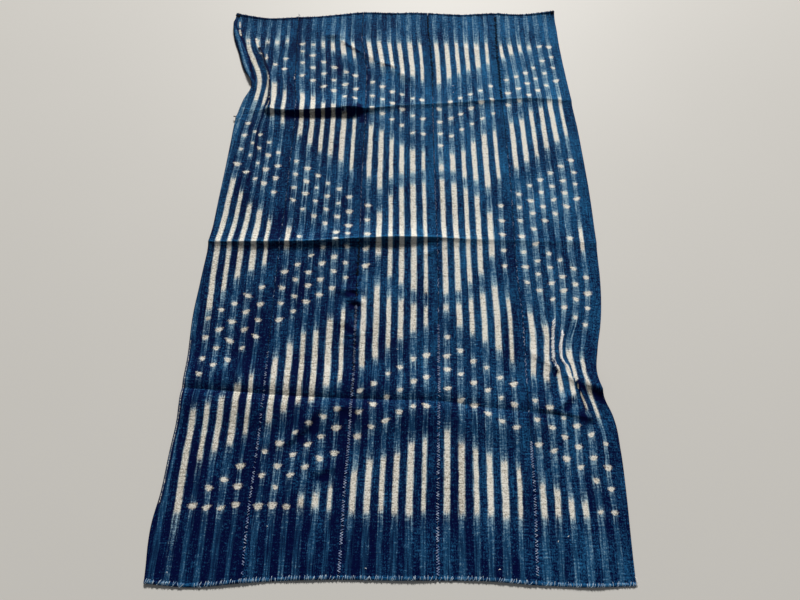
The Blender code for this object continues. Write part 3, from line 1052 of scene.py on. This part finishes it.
# %% [markdown]
# ## The dyed cotton
# Indigo does not soak through: it sits on the threads, so hand-dyed cotton is streaked
# along the warp, cloudy over a hand's breadth, and paler where it has rubbed. The yarn is
# spun by hand, about a millimetre thick. In a picture of the whole cloth a thread is
# thinner than a pixel, so the ribs are drawn three to four times too coarse to show.
# The colours: a deep navy ground that wears to a denim blue, a pale grey blue that shows
# as single threads in the stripes, and an undyed cream. The cotton has almost no gloss.

# %% The dyed cotton
THREAD_PITCH = 3.0
PICK_PITCH = 3.6
NAVY_DEEP = "#020A36"
NAVY_WORN = "#2A74A9"
STRIPE_DEEP = "#2C6B97"
STRIPE_PALE = "#AECBD6"
LINT_BLUE = "#7EA6C4"
CREAM_DULL = "#9C9280"
CREAM_LIGHT = "#F6F2E7"


def indigo_cotton():
    """Hand-woven cotton, tied and dyed in the yarn with indigo."""
    material, tree, shader = new_material("indigo_cotton_handwoven")
    weave = node(tree, "ShaderNodeUVMap", {}, uv_map="weave").outputs["UV"]

    def noise(across, along, detail=2.0):
        """Noise with features of that many millimetres across and along the warp."""
        place = node(
            tree,
            "ShaderNodeMapping",
            {"Vector": weave, "Scale": (1000 / across, 1000 / along, 1)},
        )
        cloud = node(
            tree,
            "ShaderNodeTexNoise",
            {"Vector": place.outputs[0], "Scale": 1.0, "Detail": detail},
        )
        return cloud.outputs[0]

    def ramp(value, low, high):
        """Rise smoothly from 0 at low to 1 at high."""
        rise = node(
            tree,
            "ShaderNodeMapRange",
            {"Value": value, "From Min": low, "From Max": high},
            interpolation_type="SMOOTHSTEP",
        )
        return rise.outputs[0]

    def sum_of(*terms):
        """Add up sockets, each times its own factor."""
        total = 0.0
        for socket, factor in terms:
            scaled = node(
                tree, "ShaderNodeMath", {0: socket, 1: factor, 2: total}, operation="MULTIPLY_ADD"
            )
            total = scaled.outputs[0]
        return total

    def product(first, second):
        """Multiply two sockets or values."""
        joined = node(tree, "ShaderNodeMath", {0: first, 1: second}, operation="MULTIPLY")
        return joined.outputs[0]

    def mix(share, low, high):
        """Blend two colours."""
        blend = node(tree, "ShaderNodeMix", {0: share, 6: low, 7: high}, data_type="RGBA")
        return blend.outputs[2]

    def mark(name):
        """Read one of the marks kept on the vertices."""
        return node(tree, "ShaderNodeAttribute", {}, attribute_name=name).outputs["Fac"]

    thread = noise(3.4, 50)
    fine_thread = noise(2.6, 12)
    line = noise(4.8, 200)
    cloud = noise(70, 170, 4.0)
    pick = noise(18, 4.2)
    fleck = noise(2.9, 4.2, 3.0)
    slub = noise(7.0, 8.5)
    tied = noise(24, 36)
    # This mark holds the wear together with painted light: painted shade lines in creases, grooves
    # and under folds, and a painted reflection growing towards the far end.
    rubbed_and_painted = mark("wear_and_painted_light")

    in_stripe = ramp(sum_of((thread, 5.0), (mark("side"), 1.0)), 0.4, 5.0)
    bar_side = ramp(
        sum_of((thread, 3.0), (tied, 4.2), (fleck, 2.6), (slub, 2.0), (mark("side"), 1.0)),
        5.5,
        9.3,
    )
    bar_end = ramp(sum_of((thread, 22.0), (fleck, 8.0), (mark("end"), 1.0)), 8.5, 25.0)
    dot = ramp(sum_of((fleck, 6.0), (fine_thread, 3.0), (mark("dot"), 1.0)), 3.0, 6.8)
    undyed = node(
        tree, "ShaderNodeMath", {0: product(bar_side, bar_end), 1: dot}, operation="MAXIMUM"
    )

    tone = sum_of(
        (cloud, 1.7), (thread, 1.2), (line, 0.5), (pick, 1.5), (fleck, 2.4), (slub, 0.8),
        (rubbed_and_painted, 1.0),
    )
    ground = mix(ramp(tone, 3.84, 5.68), linear(NAVY_DEEP), linear(NAVY_WORN))
    soaked = ramp(sum_of((line, 1.2), (thread, 1.2), (cloud, 0.6), (rubbed_and_painted, 0.6)), 1.0, 2.0)
    ground = mix(product(product(in_stripe, soaked), 0.62), ground, linear(STRIPE_DEEP))
    paleness = sum_of(
        (line, 1.5), (thread, 1.4), (fleck, 1.7), (slub, 0.8), (pick, 1.2), (cloud, 0.8),
        (mark("halo"), 0.8), (rubbed_and_painted, 0.7),
    )
    striped = mix(
        product(in_stripe, ramp(paleness, 3.82, 5.3)), ground, linear(STRIPE_PALE)
    )
    cream = mix(
        ramp(
            sum_of((fleck, 1.3), (slub, 0.4), (pick, 0.9), (cloud, 0.5), (rubbed_and_painted, 0.35)), 1.12, 1.82
        ),
        linear(CREAM_DULL),
        linear(CREAM_LIGHT),
    )
    dyed = mix(undyed.outputs[0], striped, cream)
    fuzz = ramp(sum_of((fleck, 1.0), (fine_thread, 0.8), (rubbed_and_painted, 0.12)), 1.17, 1.35)
    tree.links.new(
        mix(product(fuzz, 0.55), dyed, linear(LINT_BLUE)), shader.inputs["Base Color"]
    )

    apart = node(tree, "ShaderNodeSeparateXYZ", {"Vector": weave})
    ribs = []
    for axis, pitch in ((0, THREAD_PITCH), (1, PICK_PITCH)):
        wobble = sum_of((apart.outputs[axis], 2000 * math.pi / pitch), (fleck, 3.0))
        ribs.append(node(tree, "ShaderNodeMath", {0: wobble}, operation="SINE").outputs[0])
    relief = sum_of((product(*ribs), 0.35), (thread, 0.8), (fleck, 1.7), (pick, 1.0), (slub, 0.8))
    bump = node(
        tree, "ShaderNodeBump", {"Height": relief, "Strength": 0.8, "Distance": 0.0011}
    )
    tree.links.new(bump.outputs[0], shader.inputs["Normal"])
    shader.inputs["Roughness"].default_value = 0.75
    shader.inputs["Specular IOR Level"].default_value = 0.03
    return material


cotton = indigo_cotton()
print("cotton has", len(cotton.node_tree.nodes), "nodes")

# %% [markdown]
# ## The five strips
# Each strip starts as a flat grid of about 4 mm, finer at its hems and selvedges and
# along the folds. Its vertices are laid on the surface, the whole is extruded up by the
# sheet's thickness, and the marks go onto the vertices.

# %% The five strips
COLUMN_STEP = 3.6
ROW_STEP = 4.3
FOLD_STEP = 1.6
FOLD_REACH = 14
EDGE_STEPS = (0, 1.1, 2.4, 4.2)
HEM_STEPS = (0, 0.7, 1.8, 3.2, 4.8, 6.2, 7.4, 8.4, 9.4, 11.0, 13.2)
WEAVE_SHIFT = 700


def fill(first, last, step_size):
    """Even steps from first up to last, without last."""
    count = max(round((last - first) / step_size), 1)
    return np.linspace(first, last, count + 1)[:-1]


def spread(length, edge_steps, step_size, folds=()):
    """Steps from end to end, finer at both ends and at the folds."""
    places = [np.array(edge_steps[:-1])]
    start = edge_steps[-1]
    for fold in folds:
        places.append(fill(start, fold - FOLD_REACH, step_size))
        places.append(fill(fold - FOLD_REACH, fold + FOLD_REACH, FOLD_STEP))
        start = fold + FOLD_REACH
    places.append(fill(start, length - edge_steps[-1], step_size))
    places.append(length - np.array(edge_steps[::-1]))
    return np.concatenate(places)


FOLDS = (QUARTER_FOLD.level, HALF_FOLD.level, THREE_QUARTER_FOLD.level)
ACROSS = spread(STRIP_WIDTH, EDGE_STEPS, COLUMN_STEP) / STRIP_WIDTH
LEVELS = spread(CLOTH_LENGTH, HEM_STEPS, ROW_STEP, FOLDS)


def lay_strip(strip):
    """A closed sheet for one strip, with its marks on its vertices."""
    across, level = np.meshgrid(strip + ACROSS, LEVELS)
    x, y, under, top = (values.ravel() for values in surface(strip, across, level))
    columns, rows = len(ACROSS) - 1, len(LEVELS) - 1
    model = bmesh.new()
    bmesh.ops.create_grid(model, x_segments=columns, y_segments=rows, size=0.5)
    place = model.verts.layers.int.new("place")
    upper = model.verts.layers.int.new("upper")
    for vertex in model.verts:
        column = round((vertex.co.x + 0.5) * columns)
        row = round((vertex.co.y + 0.5) * rows)
        vertex[place] = row * (columns + 1) + column
    thick = bmesh.ops.extrude_face_region(model, geom=model.faces[:], use_keep_orig=True)
    for item in thick["geom"]:
        if isinstance(item, bmesh.types.BMVert):
            item[upper] = 1
    for vertex in model.verts:
        at = vertex[place]
        height = top[at] if vertex[upper] else under[at]
        vertex.co = (
            (x[at] - MIDDLE[0]) * MM,
            (y[at] - MIDDLE[1]) * MM,
            height * MM,
        )
    bmesh.ops.recalc_face_normals(model, faces=model.faces[:])
    name = f"cloth_strip_{strip + 1}"
    mesh = bpy.data.meshes.new(name)
    model.to_mesh(mesh)
    model.free()
    at = np.zeros(len(mesh.vertices), dtype=np.int32)
    mesh.attributes["place"].data.foreach_get("value", at)
    mesh.attributes.remove(mesh.attributes["place"])
    mesh.attributes.remove(mesh.attributes["upper"])
    flat = flat_place(strip, x, y)
    kept = marks(strip, flat, y)
    kept["wear_and_painted_light"] = wear_and_painted_light(strip, across.ravel(), level.ravel(), x, y)
    # Bare thread and the painted rim highlight both show cream.
    kept["dot"] = np.maximum(kept["dot"], bare_thread_and_rim_highlight(strip, x, y))
    for mark_name, values in kept.items():
        layer = mesh.attributes.new(mark_name, "FLOAT", "POINT")
        layer.data.foreach_set("value", values[at].astype(np.float32))
    corners = np.zeros(len(mesh.loops), dtype=np.int32)
    mesh.loops.foreach_get("vertex_index", corners)
    flat_uv = np.stack((flat + strip * STRIP_WIDTH, y + strip * WEAVE_SHIFT), axis=1) * MM
    weave = mesh.uv_layers.new(name="weave")
    weave.uv.foreach_set("vector", flat_uv[at][corners].astype(np.float32).ravel())
    mesh.shade_smooth()
    mesh.materials.append(cotton)
    sheet = bpy.data.objects.new(name, mesh)
    bpy.context.scene.collection.objects.link(sheet)
    return sheet


strips = [lay_strip(strip) for strip in range(STRIPS)]
for strip, sheet in enumerate(strips):
    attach(sheet, "root")
    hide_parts(f"strip_{strip + 1}")
print("each strip has about", 2 * len(strips[2].data.polygons), "triangles")

# %% [markdown]
# ## Thread
# All sewing on the cloth is by hand, in soft cotton thread: faded, black, white, or dyed
# like the cloth. A thread is two yarns twisted together and fluffy, so its colour and its
# surface change every millimetre or two. The same material is made in each colour. The
# white thread is smoother than the others, so it has some gloss, and light passes through
# it, which keeps it bright in the shade.

# %% Sewing thread
THREAD_TWIST = 1.6
THREAD_PATCH = 9
ThreadFinish = namedtuple("ThreadFinish", "roughness gloss glow")
SOFT_FINISH = ThreadFinish(0.8, 0.1, 0)
WHITE_FINISH = ThreadFinish(0.5, 1.0, 0.8)
GLOW_DEPTH = 0.002
ThreadColour = namedtuple("ThreadColour", "dark light")
THREAD_COLOURS = {
    "indigo": ThreadColour("#050E2E", "#1F4A7A"),
    "faded": ThreadColour("#5F7DB8", "#CFDDF8"),
    "hem": ThreadColour("#3F6C98", "#C8D9E4"),
    "black": ThreadColour("#040508", "#16181F"),
    "white": ThreadColour("#E6E7E6", "#FFFFFF"),
}


def sewing_thread(colour_name):
    """Soft two-ply cotton sewing thread."""
    colour = THREAD_COLOURS[colour_name]
    material, tree, shader = new_material(f"cotton_thread_{colour_name}")
    place = node(tree, "ShaderNodeTexCoord", {}).outputs["Object"]
    twist = node(
        tree,
        "ShaderNodeTexNoise",
        {"Vector": place, "Scale": 1000 / THREAD_TWIST, "Detail": 2.0},
    )
    patch = node(
        tree,
        "ShaderNodeTexNoise",
        {"Vector": place, "Scale": 1000 / THREAD_PATCH, "Detail": 1.0},
    )
    both = node(
        tree,
        "ShaderNodeMath",
        {0: twist.outputs[0], 1: patch.outputs[0]},
        operation="ADD",
    )
    share = node(
        tree, "ShaderNodeMapRange", {"Value": both.outputs[0], "From Min": 0.75, "From Max": 1.2}
    )
    tint = node(
        tree,
        "ShaderNodeMix",
        {0: share.outputs[0], 6: linear(colour.dark), 7: linear(colour.light)},
        data_type="RGBA",
    )
    tree.links.new(tint.outputs[2], shader.inputs["Base Color"])
    bump = node(
        tree,
        "ShaderNodeBump",
        {"Height": twist.outputs[0], "Strength": 0.7, "Distance": 0.0004},
    )
    tree.links.new(bump.outputs[0], shader.inputs["Normal"])
    finish = WHITE_FINISH if colour_name == "white" else SOFT_FINISH
    shader.inputs["Roughness"].default_value = finish.roughness
    shader.inputs["Specular IOR Level"].default_value = finish.gloss
    shader.inputs["Subsurface Weight"].default_value = finish.glow
    shader.inputs["Subsurface Scale"].default_value = GLOW_DEPTH
    shader.inputs["Subsurface Radius"].default_value = (1, 1, 1)
    return material


threads = {colour_name: sewing_thread(colour_name) for colour_name in THREAD_COLOURS}
print("thread colours:", ", ".join(threads))

# %% [markdown]
# ## How a stitch lies
# A stitch dives into the cloth at both ends and arches between them. To lay one anywhere,
# the script has to know how high the cloth is under a tape reading, so it looks for the
# strip and the level that lead there. Each colour of sewing becomes one mesh of many short
# round threads, made from one curve with a spline for each stitch.

# %% How a stitch lies
LEVEL_PASSES = 5
STITCH_ARCH = ((0, -1.0), (0.14, 0.35), (0.5, 1.0), (0.86, 0.35), (1, -1.0))


def top_at(x, y):
    """Height of the cloth's top under tape readings, in millimetres."""
    x, y = np.asarray(x, dtype=float), np.asarray(y, dtype=float)
    seams = [smooth(y, SECTIONS[:, 0], SECTIONS[:, 1 + seam]) for seam in range(1, STRIPS)]
    found = sum((x > seam).astype(int) for seam in seams)
    height = np.zeros_like(x)
    for strip in range(STRIPS):
        here = found == strip
        left, right = strip_edges(strip, y[here])
        across = strip + np.clip((x[here] - left) / (right - left), 0, 1)
        level = y[here].copy()
        for _ in range(LEVEL_PASSES):
            level = level + y[here] - along_cloth(across, level)
        height[here] = surface(strip, across, np.clip(level, 0, CLOTH_LENGTH))[3]
    return height


def bridges(starts, ends, lift):
    """Paths of stitches from the starts to the ends, arching up by the lift."""
    starts, ends = np.array(starts, dtype=float), np.array(ends, dtype=float)
    low, high = top_at(*starts.T), top_at(*ends.T)
    points = []
    for part, rise in STITCH_ARCH:
        place = starts * (1 - part) + ends * part
        height = low * (1 - part) + high * part + rise * lift
        points.append(np.column_stack((place, height)))
    return list(np.stack(points, axis=1))


def sew(name, paths, thread_width, colour_name):
    """One mesh of short round threads, riding with the cloth."""
    line = bpy.data.curves.new(name, "CURVE")
    line.dimensions = "3D"
    line.bevel_depth = thread_width / 2 * MM
    line.bevel_resolution = 1
    line.use_fill_caps = True
    for path in paths:
        spline = line.splines.new("POLY")
        spline.points.add(len(path) - 1)
        for point, (x, y, height) in zip(spline.points, path):
            point.co = ((x - MIDDLE[0]) * MM, (y - MIDDLE[1]) * MM, height * MM, 1)
    drawn = bpy.data.objects.new(name, line)
    mesh = bpy.data.meshes.new_from_object(drawn)
    bpy.data.objects.remove(drawn)
    mesh.name = name
    mesh.shade_smooth()
    mesh.materials.clear()
    mesh.materials.append(threads[colour_name])
    piece = bpy.data.objects.new(name, mesh)
    bpy.context.scene.collection.objects.link(piece)
    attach(piece, "root")
    print(name, "has", len(paths), "stitches and", len(mesh.polygons), "faces")
    return piece


print("top of the half fold:", float(top_at(np.array([-220.0]), np.array([893.0]))[0]), "mm")

# %% [markdown]
# ## Seams
# The strips are joined selvedge to selvedge with a whip stitch that leans one way going up
# and the other way coming back, so it shows as a small zigzag. The thread has taken up dye
# and is faint on most of its way, shows pale near the near hem, and was replaced with
# black thread where the seams once opened.

# %% Seams
SeamRun = namedtuple("SeamRun", "seam start end colour pitch half_width gaps")
SEAM_RUNS = (
    SeamRun(1, 12, 560, "faded", 3.3, 2.9, 0.46),
    SeamRun(2, 12, 700, "faded", 3.1, 3.6, 0.32),
    SeamRun(3, 12, 640, "faded", 3.1, 3.6, 0.34),
    SeamRun(4, 12, 330, "faded", 3.1, 3.4, 0.38),
    SeamRun(1, 560, 1820, "indigo", 7.0, 2.8, 0.08),
    SeamRun(2, 420, 900, "black", 6.0, 3.8, 0.30),
    SeamRun(2, 900, 1820, "indigo", 7.0, 2.8, 0.08),
    SeamRun(3, 640, 1490, "indigo", 7.0, 2.8, 0.08),
    SeamRun(3, 1490, 1820, "black", 7.0, 4.2, 0.25),
    SeamRun(4, 330, 1440, "indigo", 7.0, 2.8, 0.08),
    SeamRun(4, 1440, 1820, "black", 6.0, 5.4, 0.14),
    SeamRun(1, 700, 1560, "faded", 8.0, 1.6, 0.66),
    SeamRun(2, 930, 1300, "faded", 8.0, 1.8, 0.60),
    SeamRun(2, 1330, 1720, "faded", 7.0, 1.8, 0.60),
    SeamRun(3, 660, 1450, "faded", 7.0, 1.8, 0.55),
    SeamRun(4, 340, 1250, "faded", 7.0, 1.8, 0.55),
)
SEWING_SEED = 41
SEAM_THREAD = {"indigo": 1.1, "faded": 1.05, "black": 1.9}
SEAM_LIFT = 0.75
SEAM_SLACK = 0.35


def seam_stitches(run, chance):
    """Zigzag stitches over one seam, with some worn away."""
    count = int((run.end - run.start) / run.pitch)
    along = run.start + run.pitch * np.arange(count + 1)
    along = along + chance.normal(0, SEAM_SLACK, count + 1)
    seam = smooth(along, SECTIONS[:, 0], SECTIONS[:, 1 + run.seam])
    side = np.where(np.arange(count + 1) % 2, 1, -1)
    across = seam + side * (run.half_width + chance.normal(0, SEAM_SLACK, count + 1))
    turns = np.column_stack((across, along))
    kept = chance.uniform(0, 1, count) > run.gaps
    return bridges(turns[:-1][kept], turns[1:][kept], SEAM_LIFT)


chance = np.random.default_rng(SEWING_SEED)
seam_paths = {colour_name: [] for colour_name in SEAM_THREAD}
for run in SEAM_RUNS:
    seam_paths[run.colour] += seam_stitches(run, chance)
for colour_name, paths in seam_paths.items():
    sew(f"seam_stitches_{colour_name}", paths, SEAM_THREAD[colour_name], colour_name)

# %% [markdown]
# ## Hems
# Both ends are rolled and whipped: each stitch comes up at the outer edge, climbs over the
# roll and goes down behind it. At the near end the thread is pale and the roll shows as a
# row of pale ticks, and at the far end thread and roll are dark.

# %% Hems
HEM_PITCH = 4.9
HEM_THREAD = 1.2
HEM_CLIMB = (
    (-0.2, -0.6, 0.2), (0.5, 0.3, 0.7), (3.0, 1.2, 0.9), (6.5, 2.0, 0.8), (9.8, 2.8, -0.8),
)
HEM_LEAN = (0.9, 1.0)
HEM_SPREAD = 0.3
HEM_REACH_SPREAD = 0.16
HEM_ENDS = 0.008
HEM_EDGE = 0.004
HEM_MISSING = 0.22
FAR_PITCH = 6.4
FAR_THREAD = 2.0
FAR_BULGE = 1.6


def hem_stitches(pitch, far, chance):
    """Stitches that climb over a rolled hem from its outer edge."""
    paths = []
    inside, aside, rise = np.array(HEM_CLIMB).T
    for strip in range(STRIPS):
        count = int(STRIP_WIDTH / pitch)
        shares = (np.arange(count) + 0.5 + chance.normal(0, HEM_SPREAD, count)) / count
        shares = np.clip(shares, HEM_ENDS, 1 - HEM_ENDS)[chance.uniform(0, 1, count) > HEM_MISSING]
        count = len(shares)
        lean = chance.normal(*HEM_LEAN, (count, 1))
        reach = chance.normal(1, HEM_REACH_SPREAD, (count, 1))
        out = chance.uniform(0, FAR_BULGE if far else 0, (count, 1))
        level = inside * np.where(inside > 0, reach, 1) - out * (inside < 1)
        level = CLOTH_LENGTH - level if far else level
        across = shares[:, None] + aside * lean / STRIP_WIDTH
        across = strip + np.clip(across, HEM_EDGE, 1 - HEM_EDGE)
        held = np.clip(level, 0, CLOTH_LENGTH)
        x, y, _, top = surface(strip, across, held)
        paths += list(np.stack((x, y + level - held, top + rise), axis=2))
    return paths


sew("near_hem_stitches", hem_stitches(HEM_PITCH, False, chance), HEM_THREAD, "hem")
sew("far_hem_stitches", hem_stitches(FAR_PITCH, True, chance), FAR_THREAD, "indigo")

# %% [markdown]
# ## Mends
# Somebody has darned three tears. At the far left a pleat is whipped down in thick black
# thread, with the cream of a buried stripe peeping between the stitches. At the right two
# short tears beside each other are drawn together in coarse white thread, which pinches
# the stripes together over threads rubbed bare. Two dark knots hold the turned edge, two
# more sit by the black mend, and the far corners are bound.

# %% Mends
MEND_ARCH = 0.26
PITCH_SLACK = 0.12
WIDTH_SLACK = 0.13
LEAN_SLACK = 0.25
Mend = namedtuple("Mend", "name colour path pitch half_width lean thread")
MENDS = (
    Mend(
        "black_mend_stitches", "black",
        ((-470, 1656), (-466, 1646), (-449, 1610), (-440, 1578), (-428, 1546), (-420, 1508)),
        5.4, 4.1, 2.4, 2.4,
    ),
    Mend(
        "black_pleat_stitches", "black",
        ((-419, 1502), (-415, 1470), (-412, 1430), (-410, 1399)), 7.5, 2.2, 2.4, 1.4,
    ),
    Mend(
        "first_white_mend", "white",
        ((440, 657), (438, 640), (435, 628), (431.5, 601), (428.5, 565), (427, 540), (431, 524)),
        5.2, 3.9, 5.6, 2.5,
    ),
    Mend(
        "first_white_mend_end", "white", ((431, 524), (433, 512)), 3.6, 1.6, 1.4, 1.5,
    ),
    Mend(
        "second_white_mend", "white",
        ((458.5, 624), (459.5, 610), (455, 598), (451, 580), (449.5, 559), (449, 546),
         (452.5, 535), (458, 529)),
        4.4, 3.2, 5.2, 2.5,
    ),
    Mend("knot_in_the_gather", "black", ((-489, 1553), (-484, 1543)), 2.4, 3.4, -1.5, 1.6),
    Mend("knot_in_the_left_edge", "black", ((-517, 1354), (-515, 1347)), 2.4, 3.0, -1.5, 1.5),
    Mend("bound_far_left_corner", "black", ((-564, 1808), (-548, 1800)), 2.4, 7.5, 1.2, 2.6),
    Mend("knot_by_the_black_mend", "black", ((-466, 1648), (-462, 1640)), 2.0, 4.2, 1.4, 2.0),
    Mend(
        "lower_knot_by_the_black_mend", "black", ((-453, 1616), (-450, 1609)), 2.0, 4.0, 1.4, 2.0,
    ),
    Mend("bound_far_right_corner", "black", ((548, 1833), (560, 1837)), 2.4, 4.5, -1.2, 1.8),
)


def mend_stitches(mend, chance):
    """Whip stitches across a mended tear."""
    points = np.array(mend.path, dtype=float)
    run = np.concatenate(([0], np.cumsum(np.hypot(*np.diff(points, axis=0).T))))
    count = max(int(run[-1] / mend.pitch), 1)
    at = (np.arange(count) + 0.5 + chance.normal(0, PITCH_SLACK, count)) / count * run[-1]
    middle = np.column_stack([np.interp(at, run, points[:, axis]) for axis in (0, 1)])
    ahead = np.column_stack([np.interp(at + 1, run, points[:, axis]) for axis in (0, 1)])
    behind = np.column_stack([np.interp(at - 1, run, points[:, axis]) for axis in (0, 1)])
    way = ahead - behind
    way /= np.hypot(*way.T)[:, None]
    aside = np.column_stack((way[:, 1], -way[:, 0]))
    half = mend.half_width * chance.normal(1, WIDTH_SLACK, (count, 1))
    lean = mend.lean * chance.normal(1, LEAN_SLACK, (count, 1))
    starts = middle - aside * half - way * lean
    ends = middle + aside * half + way * lean
    return bridges(starts, ends, mend.thread * MEND_ARCH)


for mend in MENDS:
    sew(mend.name, mend_stitches(mend, chance), mend.thread, mend.colour)

# %% [markdown]
# ## Ends and lint
# A white thread end stands up where the third seam meets the far hem, another lies by the
# first seam and one at the near right corner, and a few short white fibres and neps lie
# about. They are small, but they tell the eye how big the cloth is.

# %% Ends and lint
LOOSE_ENDS = (
    ((110, 1822, 0.6), (111, 1828, 1.2), (112.5, 1835, 1.5), (112, 1841, 1.0), (114, 1845, 0.6)),
    ((-340, 1528, 0.2), (-338.5, 1524, 0.9), (-338, 1520, 0.8), (-339, 1515, 0.2)),
    ((563, 14, 0.2), (565, 10, 1.2), (567, 4, 1.4), (566.5, -1, 1.0), (564, -4, 0.4)),
)
LINT = (
    (393, 89), (418, 100), (349, 321), (-296, 120), (-516, 20), (190, 1495), (190, 1465),
    (10, 567), (353, 592), (352, 604), (354, 618), (-338, 1536), (-60, 30), (250, 28), (140, 1240),
)
LINT_THREAD = 1.3
LINT_LENGTH = 3.2
LINT_LIFT = 0.5
LINT_STEPS = (-1, -0.3, 0.4, 1)
LINT_BOW = (0, 0.6, 0.5, 0)
LINT_SIZES = (0.7, 1.3)


def loose_paths(chance):
    """Thread ends and lint that lie on the cloth."""
    paths = []
    for path in LOOSE_ENDS:
        points = np.array(path, dtype=float)
        points[:, 2] += top_at(points[:, 0], points[:, 1])
        paths.append(points)
    for x, y in LINT:
        turn = chance.uniform(0, math.pi)
        along = np.array(LINT_STEPS) * LINT_LENGTH / 2 * chance.uniform(*LINT_SIZES)
        bow = np.array(LINT_BOW)
        place_x = x + along * math.cos(turn) - bow * math.sin(turn)
        place_y = y + along * math.sin(turn) + bow * math.cos(turn)
        paths.append(np.column_stack((place_x, place_y, top_at(place_x, place_y) + LINT_LIFT)))
    return paths


sew("loose_ends_and_lint", loose_paths(chance), LINT_THREAD, "white")
